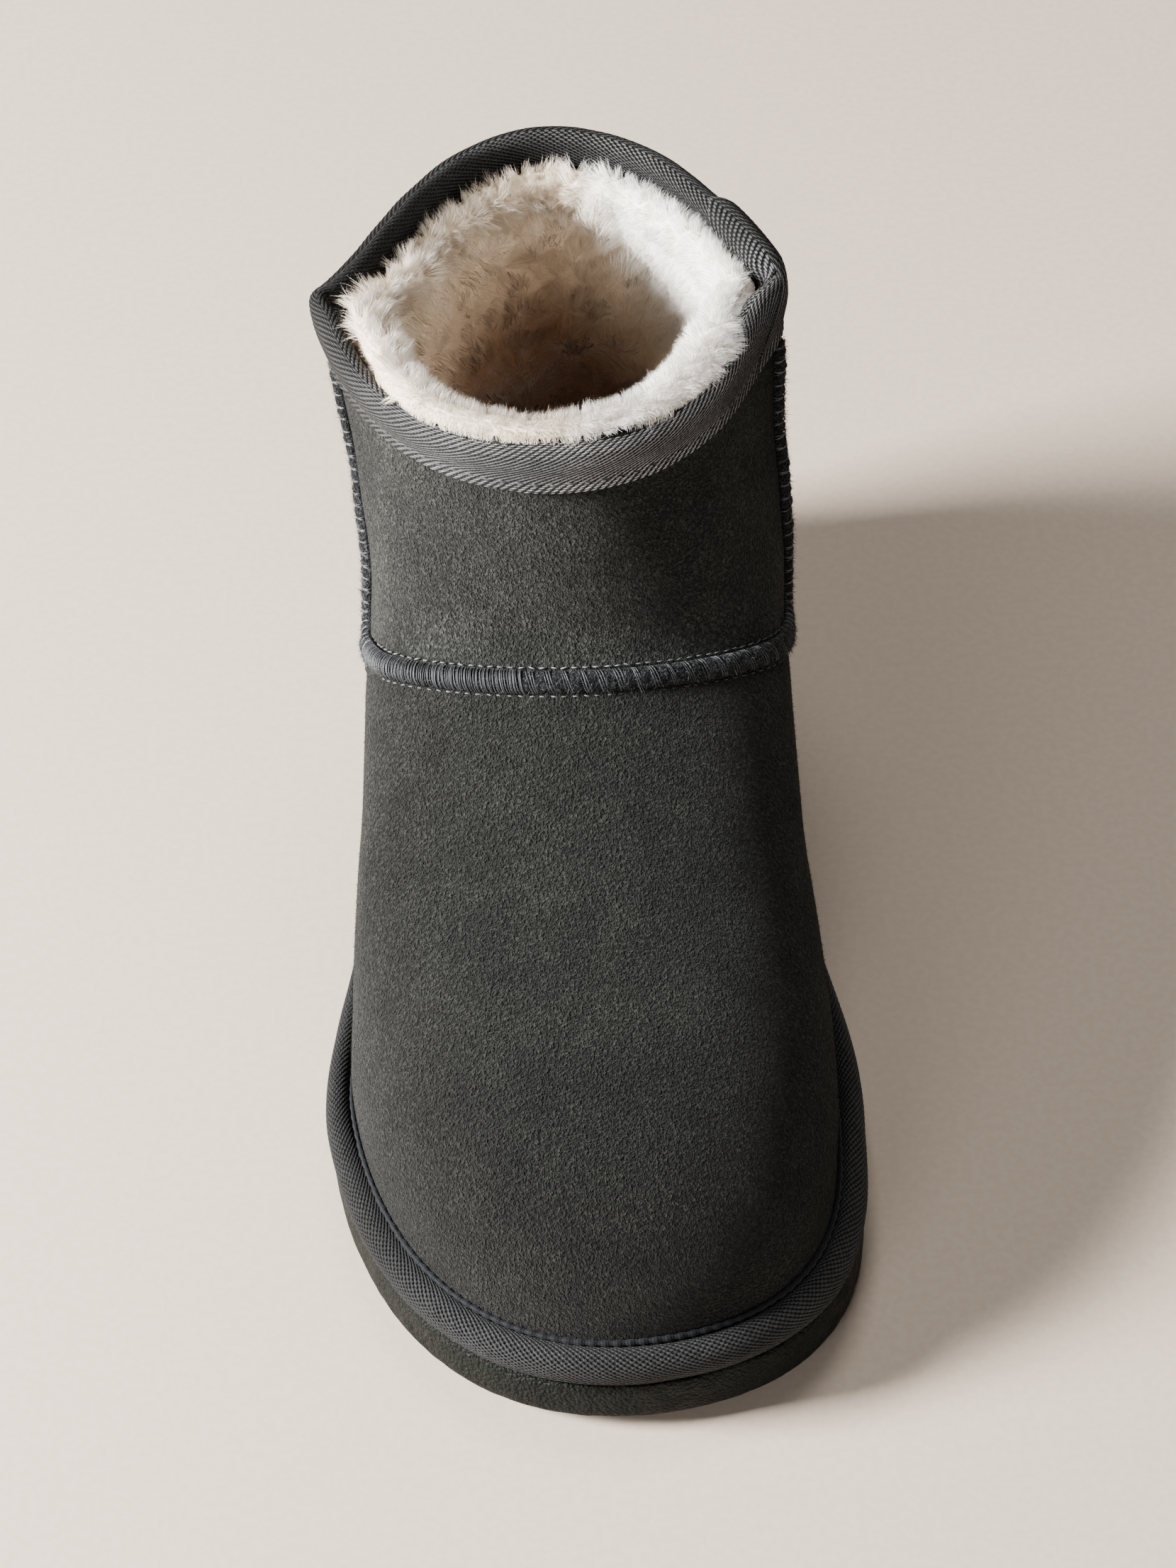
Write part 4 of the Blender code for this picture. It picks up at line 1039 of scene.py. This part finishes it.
rand_walk = walked_along(foot_line(np.full(fine_turns.shape, 0.34), fine_turns,
                                   np.full(fine_turns.shape, 6.9), lambda y: bed(y) + 3.8))
RAND_LENGTH = rand_walk[-1]
RAND_APEX = section_walk[5] + 0.6
rand_steps = np.concatenate([[0.2, 2.4, 4.6],
                             np.linspace(section_walk[3] - 0.2, section_walk[-1] - 0.2, 14)])
count = int(round(RAND_LENGTH / RAND_RIB_PITCH)) * STEPS_A_RIB
along = RAND_LENGTH * np.arange(count) / count
relief = 1.25 * RIB_RELIEF[np.arange(count) % STEPS_A_RIB]
rows = []
for step in rand_steps:
    distance = along + abs(step - RAND_APEX) * RAND_LEAN
    turns = np.interp(distance % RAND_LENGTH, rand_walk, fine_turns)
    at_toe = smooth((-44.0 - last(np.full(count, 0.5), turns)[:, 1]) / 44.0)
    (out, up), ahead, behind = [rand_section(place, at_toe)
                                for place in (step, step + 0.4, step - 0.4)]
    normal = unit(np.stack([ahead[1] - behind[1], behind[0] - ahead[0]], axis=-1))
    place = foot_line(up / RAND_RISE, turns, out, lambda y: bed(y) + up)
    swell = 0.22 * drift(place, 26.0, 61) + 0.12 * drift(place, 8.0, 62)
    held = smooth((step - section_walk[2]) / 3.0) * smooth((section_walk[-1] - step) / 3.0)
    high = (relief + swell) * held
    place = foot_line(up / RAND_RISE, turns, out + normal[:, 0] * high, lambda y: bed(y) + up)
    place[:, 2] += normal[:, 1] * high
    rows.append(place)
rand = lofted("rand_tape", rows, np.arange(count + 1) / STEPS_A_RIB,
              np.append(rand_steps, rand_steps[0]) / THREAD_PITCH, loop=True)
rand.data.materials.append(RAND_TWILL)
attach(rand, "root")
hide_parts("rand")

# A whipped braid hides the line where the rand meets the suede: small scallops of looped thread.
BRAID_SIDE, BRAID_TOE, SCALLOP, LOOP_PITCH = 0.28, 0.66, 2.7, 0.42
braid_turns = np.interp(np.linspace(0.0, RAND_LENGTH, 2301)[:-1], rand_walk, fine_turns)
count = len(braid_turns)
place = foot_line(np.full(count, 0.97), braid_turns, np.full(count, 0.55), lambda y: bed(y) + 11.0)
walked = walked_along(place)
phase = walked / SCALLOP * 2.0 * np.pi
loop_phase = walked / LOOP_PITCH * 2.0 * np.pi
loops = 0.10 * np.sin(loop_phase)
towards_toe = smooth((-40.0 - place[:, 1]) / 50.0)
radius = BRAID_SIDE + (BRAID_TOE - BRAID_SIDE) * towards_toe
radius = radius * (1.0 + 0.16 * np.sin(phase) + loops + 0.15 * drift(place, 3.0, 65))
outwards = unit(last_directions(np.full(count, 0.97), braid_turns)[0] * IN_PLAN)
rows = []
for turn in np.radians(np.arange(0, 360, 60)):
    offset = np.cos(turn) * outwards + np.sin(turn) * np.array([0.0, 0.0, 1.0])
    rows.append(place + offset * radius[:, None])
braid = lofted("rand_braid", rows, loop=True)
tones = np.array([0.4 + 0.35 * np.sin(loop_phase + 0.9 * k) for k in range(6)])
tones = tones * (1.0 - 0.45 * towards_toe)
set_tone(braid.data, tones.ravel())
BRAID_THREAD = make_yarn("braid_thread", (0.0009, 0.0013, 0.0019), (0.0082, 0.0109, 0.0152), 0.7,
                         0.12)
braid.data.materials.append(BRAID_THREAD)
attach(braid, "root")

# ------------------------------------------------------------------------------------ the outsole
# One moulded piece of dark olive-grey foam with a fine pebbled side, flat under ball and heel, with
# seven bowed flex grooves across its underside.  It is cemented to the wall and the rand.

TOE_SPRING, HEEL_LIFT, TREAD_BACK, HEEL_TIP = 4.0, 1.5, 118.0, 134.0
ARCH_FROM, ARCH_TO, ARCH_RISE = 6.0, 62.0, 1.4


def ground(y):
    """Height of the sole's underside: raised at tip, arch and back edge."""
    spring = np.clip((TREAD_FRONT - y) / (TREAD_FRONT - TOE_TIP), 0.0, None) ** 2
    lift = np.clip((y - TREAD_BACK) / (HEEL_TIP - TREAD_BACK), 0.0, None) ** 2
    arch = np.sin(np.pi * np.clip((y - ARCH_FROM) / (ARCH_TO - ARCH_FROM), 0.0, 1.0)) ** 2
    return TOE_SPRING * spring + HEEL_LIFT * lift + ARCH_RISE * arch


SOLE_PARTS = (0.0, 0.03, 0.08, 0.15, 0.25, 0.36, 0.48, 0.6, 0.72, 0.84, 0.93, 0.98, 1.0)
SOLE_OUTS = (5.0, 5.85, 6.45, 6.8, 6.98, 7.0, 6.95, 6.9, 6.85, 6.7, 6.5, 6.3, 6.0)
SOLE_COLUMNS = 620
turns = 2.0 * np.pi * np.arange(SOLE_COLUMNS) / SOLE_COLUMNS
foot = np.zeros(SOLE_COLUMNS)
rows = []
for part, out in zip(SOLE_PARTS, SOLE_OUTS):
    def side_height(y):
        return ground(y) + part * (bed(y) - ground(y))

    place = foot_line(foot, turns, foot + out, side_height)
    lumps = 0.10 * drift(place, 2.2, 71) + 0.16 * drift(place, 9.0, 72)
    rows.append(foot_line(foot, turns, out + lumps, side_height))
rim, top_rim = rows[0], rows[-1]
half = SOLE_COLUMNS // 2
CROSS = 30


def strips(ring, height):
    """Rows from the inner to the outer side of a ring, their height given by a function."""
    part = np.linspace(0.0, 1.0, CROSS + 1)[1:-1, None, None]
    left, right = ring[1:half], ring[:half:-1]
    cross = left * (1 - part) + right * part
    cross[..., 2] = height(cross)
    return np.moveaxis(cross, 1, 0)


under = strips(rim, lambda p: ground(p[..., 1] - FRAME_Y))
over = strips(top_rim, lambda p: bed(p[..., 1] - FRAME_Y))
points = [np.concatenate(rows), under.reshape(-1, 3), over.reshape(-1, 3)]
side_faces, _ = grid_faces(len(rows), SOLE_COLUMNS)
cap_faces, cap_ends = [], []
first_under = len(rows) * SOLE_COLUMNS
for ring_start, grid_start in ((0, first_under),
                               ((len(rows) - 1) * SOLE_COLUMNS, first_under + under.size // 3)):
    between = grid_start + np.arange((half - 1) * (CROSS - 1)).reshape(half - 1, CROSS - 1)
    numbers = np.concatenate([(ring_start + np.arange(1, half))[:, None], between,
                              (ring_start + np.arange(SOLE_COLUMNS - 1, half, -1))[:, None]],
                             axis=1)
    quads = np.stack([numbers[:-1, :-1], numbers[:-1, 1:], numbers[1:, 1:], numbers[1:, :-1]], -1)
    cap_faces.append(quads.reshape(-1, 4))
    cap_ends.append(np.append(numbers[0], ring_start))
    cap_ends.append(np.append(numbers[-1], ring_start + half))
sole = mesh_piece("foam_outsole", np.concatenate(points),
                  [side_faces, *cap_faces, np.array(cap_ends)])

GROOVES = ((-82.0, 9.0), (-66.0, 8.0), (-50.0, 7.0), (-34.0, 6.0), (-18.0, 5.0), (76.0, -4.0),
           (96.0, -6.0))
GROOVE_SECTION = ((-1.3, -1.0), (-1.3, 0.2), (-1.0, 0.95), (-0.5, 1.42), (0.0, 1.55), (0.5, 1.42),
                  (1.0, 0.95), (1.3, 0.2), (1.3, -1.0))
GROOVE_MARGIN = 8.0
for y, bow in GROOVES:
    beside = np.abs(rim[:, 1] - FRAME_Y - y) < 1.5
    outer_x, inner_x = rim[beside, 0].min() + GROOVE_MARGIN, rim[beside, 0].max() - GROOVE_MARGIN
    part = np.linspace(-1.0, 1.0, 25)
    x = (inner_x + outer_x) / 2.0 + part * (inner_x - outer_x) / 2.0
    shallow = 1.0 - np.abs(part) ** 6 * 0.9
    bowed = y + FRAME_Y - bow * (1 - part ** 2)
    heights = [ground(y) * (b > -0.5) + b * np.where(b > 0, shallow, 1.0)
               for _, b in GROOVE_SECTION]
    rows = np.stack([np.stack([x, bowed + a, height], axis=-1)
                     for (a, _), height in zip(GROOVE_SECTION, heights)], axis=1)
    faces, _ = grid_faces(*rows.shape[:2])
    cutter = mesh_piece("groove", rows.reshape(-1, 3), [faces, end_caps(*rows.shape[:2])])
    cut = sole.modifiers.new("groove", "BOOLEAN")
    cut.object, cut.operation, cut.solver = cutter, "DIFFERENCE", "EXACT"
    bpy.context.view_layer.objects.active = sole
    bpy.ops.object.modifier_apply(modifier=cut.name)
    bpy.data.objects.remove(cutter, do_unlink=True)
sole.data.shade_smooth()
sole.data.set_sharp_from_angle(angle=np.radians(40.0))

FOAM, tree, shader = new_finish("pebbled_foam", 0.62, Specular_IOR_Level=0.11)
place = object_place(tree)
warp = node(tree, "ShaderNodeTexNoise", Vector=place, Scale=900.0, Detail=1.0).outputs["Color"]
shifted = node(tree, "ShaderNodeVectorMath", operation="MULTIPLY_ADD")
tree.links.new(warp, shifted.inputs[0])
shifted.inputs[1].default_value = (0.0008, 0.0008, 0.0008)
tree.links.new(place, shifted.inputs[2])
pebble = node(tree, "ShaderNodeTexVoronoi", Vector=shifted.outputs[0], Scale=1150.0,
              Randomness=1.0).outputs["Distance"]
skin = noise(tree, place, 240.0, 3.0)
cloud = noise(tree, place, 50.0, 3.0)
colour = colour_mix(tree, spread(tree, pebble, 0.15, 0.65), (0.0035, 0.0055, 0.0046),
                    (0.0013, 0.0020, 0.0016))
colour = tinted(tree, colour, spread(tree, cloud, 0.35, 0.65), (0.85, 0.85, 0.85),
                (1.15, 1.14, 1.12))
tree.links.new(colour, shader.inputs["Base Color"])
tree.links.new(spread(tree, skin, 0.3, 0.7, 0.52, 0.75), shader.inputs["Roughness"])
bumps = plus(tree, times(tree, pebble, -1.0), times(tree, skin, 0.8))
set_bump(tree, shader, bumps, 1.0, 0.0006)
sole.data.materials.append(FOAM)
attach(sole, "root")
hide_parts("outsole")

# ------------------------------------------------------------------------------------ the footbed
# A padded insole covered with the same pelt as the lining, cream and a little trodden down.

INSOLE_SECTION = ((-4.3, 0.35), (-3.5, 0.7), (-3.15, 1.6), (-3.1, 3.2), (-3.25, 4.8), (-3.9, 5.9),
                  (-5.2, 6.2))
INSOLE_COLUMNS = 300
columns = np.ones(INSOLE_COLUMNS)
turns = 2.0 * np.pi * np.arange(INSOLE_COLUMNS) / INSOLE_COLUMNS
rows = []
for out, up in INSOLE_SECTION:
    rows.append(foot_line(columns * up / RAND_RISE, turns, columns * out, lambda y: bed(y) + up))
footbed_rim = rows[-1]
for shrink in (0.85, 0.7, 0.55, 0.4, 0.25, 0.1):
    centre = np.stack([columns * footbed_rim[:, 0].mean(), footbed_rim[:, 1] * 0.94 + 0.3,
                       footbed_rim[:, 2]], -1)
    ring = centre + (footbed_rim - centre) * shrink
    ring[:, 2] = bed(ring[:, 1] - FRAME_Y) + 6.2 - 0.5 * (1 - shrink) + 0.35 * drift(ring, 7.0, 81)
    rows.append(ring)
points = np.concatenate(rows)
faces, _ = grid_faces(len(rows), INSOLE_COLUMNS)
half = INSOLE_COLUMNS // 2
pairs = np.arange(1, half - 1)
top_first = (len(rows) - 1) * INSOLE_COLUMNS
bottom = np.stack([pairs, pairs + 1, INSOLE_COLUMNS - pairs - 1, INSOLE_COLUMNS - pairs], -1)
caps = [bottom, top_first + bottom]
ends = np.array([(0, 1, INSOLE_COLUMNS - 1), (half, half - 1, half + 1)])
footbed = mesh_piece("fleece_footbed", points, [faces, *caps, ends, top_first + ends])
FLEECE, tree, shader = new_finish("fleece", 0.95, Sheen_Weight=0.3, Specular_IOR_Level=0.1)
place = object_place(tree)
curls = noise(tree, place, 420.0, 4.0, Distortion=1.2)
tree.links.new(colour_mix(tree, spread(tree, curls, 0.35, 0.65), (0.36, 0.28, 0.19),
                          (0.66, 0.58, 0.45)), shader.inputs["Base Color"])
set_bump(tree, shader, curls, 0.9, 0.0012)
footbed.data.materials.append(FLEECE)
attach(footbed, "root")
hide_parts("insole")

# -------------------------------------------------------------------------------- the fur lining
# Sheepskin-like pile of cream fibres lining the whole wall.  Its cut edge swells over the rim in
# soft tufts, painted tan and darker at their roots as shade; lower in the boot the pile is painted
# brown as shade, less so on the inner side where light falls; two pelts meet at the middle of the
# back.

PILE_LEVELS, PILE = (0.0, 3.0, 6.0, 8.5, 10.0), (8.5, 8.5, 10.0, 12.0, 12.5)
HAIR_ROOM = 3.0             # of the pile's thickness left to the separate fibres
SHAFT_MIDDLE = (0.0, 62.0)  # x and y
SHELF_GAP = 0.55            # of the fur's overhang above the tape's crest
BEHIND_WALL = -(WALL + 0.5)
BEHIND_TAPE = -(WALL + 0.6 + TAPE + 0.5)


def at_front(turn):
    return (1.0 - np.cos(turn)) / 2.0


def fur_rim_level(turn):
    """Level of the fur's rim: near the collar's edge in front, lower at the back."""
    at_back = ((1.0 + np.cos(turn)) / 2.0) ** 1.3
    on_outer_side = np.clip(-np.sin(turn - 0.8), 0.0, 1.0) ** 1.5
    return TOP - (1.5 + 5.5 * at_back + 3.6 * on_outer_side) / TAPE_HEIGHT


def shagginess(turn):
    """How tufted the pile stands: shaggy on the outer side and behind, brushed flat inside."""
    return 0.12 + 0.88 * smooth((0.15 - np.sin(turn - 0.7)) / 0.75)


def pile_depth(level, turn):
    """Thickness of the dense pile: slimmer in front, fullest at the sides."""
    near_rim = smooth((level - 6.0) / 3.0)
    in_front = np.exp(-((turn % (2.0 * np.pi) - np.pi - 0.15) / 0.75) ** 2)
    thickness = np.interp(level, PILE_LEVELS, PILE) - HAIR_ROOM
    return thickness * (1.0 - 0.56 * in_front * near_rim) * (1.0 - 0.16 * near_rim)


def pressed_over(turn):
    """Where the pile is pressed out over the crest: in front, and more so on the inner side."""
    return smooth((at_front(turn) + 0.20 * np.clip(np.sin(turn), 0.0, 1.0) - 0.72) / 0.22)


def crown_section(part):
    """Height of the pile's rounded crown, from its outer edge (0) over to its inner edge (1)."""
    return 1.0 - (((0.42 - part) / 0.44) ** 2.2 if part < 0.42 else ((part - 0.42) / 0.58) ** 2.6)


FUR_COLUMNS = 300
turns = 2.0 * np.pi * np.arange(FUR_COLUMNS) / FUR_COLUMNS
rim_level = fur_rim_level(turns)
rows = [wall(0.80, turns, BEHIND_WALL - 0.3)]
rows.extend(wall(level, turns, BEHIND_WALL) for level in np.linspace(2.0, 9.2, 25))
rows.append(wall(9.26, turns, BEHIND_TAPE))
rows.append(wall(rim_level, turns, BEHIND_TAPE))
over = pressed_over(turns)
shelf = over * (1.5 + CREST_RADIUS + SHELF_GAP - collar_sag(turns)) + 0.1
overhang = (3.6 + 0.9 * np.clip(np.sin(turns), 0.0, 1.0)) * over
rows.append(wall(rim_level, turns, BEHIND_TAPE - 0.02, shelf))
crown_row = len(rows)
depth = pile_depth(rim_level, turns)
crown_rise = 3.4 - 1.4 * over
for part in np.linspace(0.0, 0.94, 13):
    lift = crown_rise * crown_section(part) + shelf * (1.0 - smooth((part - 0.55) / 0.45)) + 0.1
    rows.append(wall(rim_level, turns, BEHIND_TAPE + overhang - part * (depth + overhang), lift))
for part in np.linspace(0.0, 1.0, 46):
    level = rim_level - 0.10 - (rim_level - 0.10 - 0.80) * part
    backing = BEHIND_WALL + (BEHIND_TAPE - BEHIND_WALL) * smooth((level - 8.2) / 1.0)
    rows.append(wall(level, turns, backing - pile_depth(level, turns)))
rows = np.array(rows)
lumps = shagginess(turns)
tufts = ((0.3 + 0.5 * lumps) * drift(rows[crown_row:-1], 6.0, 91)
         + (0.1 + 0.5 * lumps) * drift(rows[crown_row:-1], 3.2, 92))
pushed = unit(np.cross(np.gradient(rows, axis=0), np.gradient(rows, axis=1)))
inwards = (*SHAFT_MIDDLE, 0.0) - rows
pushed *= np.sign(np.sum(pushed * (inwards * IN_PLAN + (0.0, 0.0, 12.0)), axis=-1, keepdims=True))
rows[crown_row:-1] += pushed[crown_row:-1] * tufts[..., None]
fur = lofted("fur_pile", rows, loop=True)

FUR_BODY, tree, shader = new_finish("fur_ground", 0.95, Sheen_Weight=0.4, Specular_IOR_Level=0.1)
place = object_place(tree)
locks = noise(tree, place, 600.0, 4.0, Distortion=0.8)
colour = colour_mix(tree, spread(tree, locks, 0.36, 0.64), (0.80, 0.72, 0.62), (0.94, 0.91, 0.86))


def painted_shade_depth(tree, place):
    """Height in the pile for its painted shade: the fur is painted browner and darker lower in the
    boot, and stays pale deeper on the inner side where light falls on it.
    """
    axes = parts_of(tree, place)
    return plus(tree, axes[2], spread(tree, axes[0], 0.000, 0.026, -0.020, 0.042))


# Painted shade: the pile is painted tan, then dark brown, lower down in the boot.
height = painted_shade_depth(tree, place)
colour = colour_mix(tree, spread(tree, height, 0.154, 0.125), colour, (0.74, 0.61, 0.46))
colour = colour_mix(tree, spread(tree, height, 0.128, 0.080), colour, (0.24, 0.125, 0.064))
tree.links.new(colour, shader.inputs["Base Color"])
set_bump(tree, shader, locks, 0.8, 0.0008)
fur.data.materials.append(FUR_BODY)
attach(fur, "root")
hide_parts("fur_lining")

FUR, tree, shader = new_finish("fur_fibres", 0.75, Sheen_Weight=0.4, Sheen_Roughness=0.4,
                               Specular_IOR_Level=0.2, Subsurface_Weight=0.15,
                               Subsurface_Scale=0.002)
shader.inputs["Subsurface Radius"].default_value = (1.0, 0.8, 0.6)
lit = fibre_tone(tree)
place = object_place(tree)
stain = noise(tree, place, 120.0, 3.0)
# Each fibre is painted tan and darker at its root as shade, cream to white towards its tip, with a
# random tone for each fibre and tuft.
colour = colour_mix(tree, spread(tree, lit, 0.0, 0.35), (0.78, 0.68, 0.56), (0.95, 0.92, 0.87))
colour = colour_mix(tree, spread(tree, lit, 0.25, 0.6), colour, (0.98, 0.968, 0.945))
colour = tinted(tree, colour, spread(tree, stain, 0.35, 0.65), (0.95, 0.93, 0.90), (1.0, 1.0, 1.0))
# Painted shade: the fibres are painted tan, then dark brown, lower down in the boot.
height = painted_shade_depth(tree, place)
colour = tinted(tree, colour, spread(tree, height, 0.154, 0.125), (1.0, 1.0, 1.0),
                (0.86, 0.74, 0.59))
colour = colour_mix(tree, spread(tree, height, 0.128, 0.080), colour, (0.31, 0.175, 0.095))
tree.links.new(colour, shader.inputs["Base Color"])


def grow_fur(name, first_row, last_row, count, tuft_count, length, width, seed, lift, gather,
             out=0.0, tan=0.2):
    """Fibres on part of the pile, leaning together in tufts.  lift: how far they rise.  gather:
    how far their tips draw together.  out: how far the outer rows lean over the rim.  tan: how
    tan the darkest tufts are."""
    random = np.random.default_rng(seed)
    ground_points = closed_ring(rows[first_row:last_row])
    roots, normals, row, column = scatter(ground_points, count, random)
    turn = column / FUR_COLUMNS * 2.0 * np.pi
    inward = unit(((*SHAFT_MIDDLE, 0.0) - roots) * (0.9, 1.0, 0.0))
    facing = np.sum(normals * (inward + np.array([0, 0, 0.8])), axis=1, keepdims=True)
    normals = normals * np.where(facing < 0, -1.0, 1.0)
    tuft_random = np.random.default_rng(seed + 1)
    tuft_places = scatter(ground_points, tuft_count, tuft_random)[0]
    tuft_shag = shagginess(np.arctan2(tuft_places[:, 0], tuft_places[:, 1] - SHAFT_MIDDLE[1]))
    leans = np.stack([0.34 * drift(tuft_places, 11.0, seed + 3 + k) for k in range(3)], axis=-1)
    leans += tuft_random.normal(0.0, 0.36, (tuft_count, 3)) * tuft_shag[:, None]
    tuft_length = 1.0 + tuft_shag * tuft_random.uniform(-0.15, 0.55, tuft_count)
    tuft_tone = 1.0 - tan * tuft_shag * tuft_random.uniform(0.0, 1.0, tuft_count)
    tree = KDTree(tuft_count)
    for number, spot in enumerate(tuft_places):
        tree.insert(spot, number)
    tree.balance()
    nearest = np.array([tree.find(root)[1] for root in roots])
    to_tuft = tuft_places[nearest] - roots
    edge = np.clip(1.0 - row / 8.0, 0.0, 1.0)
    outer = out * (edge * (0.35 + 0.75 * pressed_over(turn)))[:, None]
    heads = normals + leans[nearest] - inward * outer
    heads[:, 2] += lift - 0.9 * np.sign(out) * edge ** 2
    heads = unit(heads + random.normal(0.0, 0.12, heads.shape))
    lengths = length * random.uniform(0.65, 1.05, count) * tuft_length[nearest]
    lengths *= 1.0 + 0.2 * drift(roots, 6.0, seed + 2)
    lengths *= 0.72 + 0.28 * smooth(shagginess(turn) / 0.6)
    bends = gather * to_tuft / lengths[:, None] + random.normal(0.0, 0.12, heads.shape)
    piece = hair_piece(name, roots - normals * 0.4, heads, bends, lengths,
                       width * random.uniform(0.7, 1.3, count), random, stations=(0.0, 0.6),
                       tone=random.uniform(0.75, 1.0, count) * tuft_tone[nearest],
                       lie=normals + 0.25 * leans[nearest])
    piece.data.materials.append(FUR)
    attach(piece, "root")
    return piece


grow_fur("fur_rim_fibres", crown_row, crown_row + 15, count=65000, tuft_count=520, length=3.9,
         width=0.08, seed=93, lift=0.20, gather=0.42, out=1.1, tan=0.12)
grow_fur("fur_brow_fibres", crown_row + 10, crown_row + 30, count=55000, tuft_count=560,
         length=3.4, width=0.11, seed=95, lift=-0.25, gather=0.45, tan=0.45)
grow_fur("fur_deep_fibres", crown_row + 29, crown_row + 56, count=22000, tuft_count=380,
         length=4.0, width=0.19, seed=97, lift=-0.30, gather=0.45, tan=0.6)

# ------------------------------------------------------------------------- floor, light and camera
# Plain pale floor, one large soft light high on the left, a weak fill, and a long lens from above.

FLOOR_SIZE, FLOOR_GAP = 8.0, 0.0002
bpy.ops.mesh.primitive_plane_add(size=FLOOR_SIZE, location=(0.0, 0.0, -FLOOR_GAP))
floor = bpy.context.object
floor.name = "floor"
FLOOR, tree, shader = new_finish("floor_paper", 0.85, Specular_IOR_Level=0.2)
place = object_place(tree)
grain = noise(tree, place, 500.0, 3.0)
tree.links.new(colour_mix(tree, spread(tree, grain, 0.4, 0.6), (0.42, 0.345, 0.28),
                          (0.44, 0.365, 0.30)), shader.inputs["Base Color"])
floor.data.materials.append(FLOOR)
floor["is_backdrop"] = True


def soft_light(name, place, target, size, power, colour):
    data = bpy.data.lights.new(name, "AREA")
    data.shape = "SQUARE"
    data.size, data.energy, data.color = size, power, colour
    light = bpy.data.objects.new(name, data)
    light.location = place
    light.rotation_euler = (Vector(target) - Vector(place)).to_track_quat("-Z", "Y").to_euler()
    bpy.context.scene.collection.objects.link(light)


soft_light("key", (-1.28, -0.20, 0.76), (0.0, 0.02, 0.08), 0.42, 190.0, (1.0, 0.985, 0.96))
soft_light("fill", (-0.60, -1.35, 0.60), (0.0, 0.0, 0.10), 0.6, 11.0, (1.0, 0.99, 0.98))
soft_light("bounce", (1.30, -0.75, 0.35), (0.0, -0.05, 0.04), 0.7, 4.0, (1.0, 0.97, 0.93))
soft_light("top", (0.05, 0.35, 1.50), (0.0, 0.02, 0.10), 0.5, 13.0, (1.0, 0.97, 0.93))
world = bpy.data.worlds.new("studio")
world.use_nodes = True
world.node_tree.nodes["Background"].inputs["Color"].default_value = (0.95, 0.92, 0.90, 1.0)
world.node_tree.nodes["Background"].inputs["Strength"].default_value = 0.10
bpy.context.scene.world = world

CAMERA_PLACE = Vector((0.00775, -0.6985, 0.8275))
CAMERA_AIM = Vector((0.0019, -0.0011, 0.060))
CAMERA_ROLL = np.radians(2.97)
SENSOR_HEIGHT, LENS = 36.0, 105.8
camera_data = bpy.data.cameras.new("camera")
camera_data.sensor_fit = "VERTICAL"
camera_data.sensor_height, camera_data.lens = SENSOR_HEIGHT, LENS
camera = bpy.data.objects.new("camera", camera_data)
view = (CAMERA_AIM - CAMERA_PLACE).normalized()
right = view.cross(Vector((0, 0, 1))).normalized()
up = right.cross(view)
cos, sin = np.cos(CAMERA_ROLL), np.sin(CAMERA_ROLL)
right, up = right * cos - up * sin, up * cos + right * sin
turned = Matrix((right, up, -view)).transposed().to_4x4()
camera.matrix_world = Matrix.Translation(CAMERA_PLACE) @ turned
bpy.context.scene.collection.objects.link(camera)
bpy.context.scene.camera = camera

low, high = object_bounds()
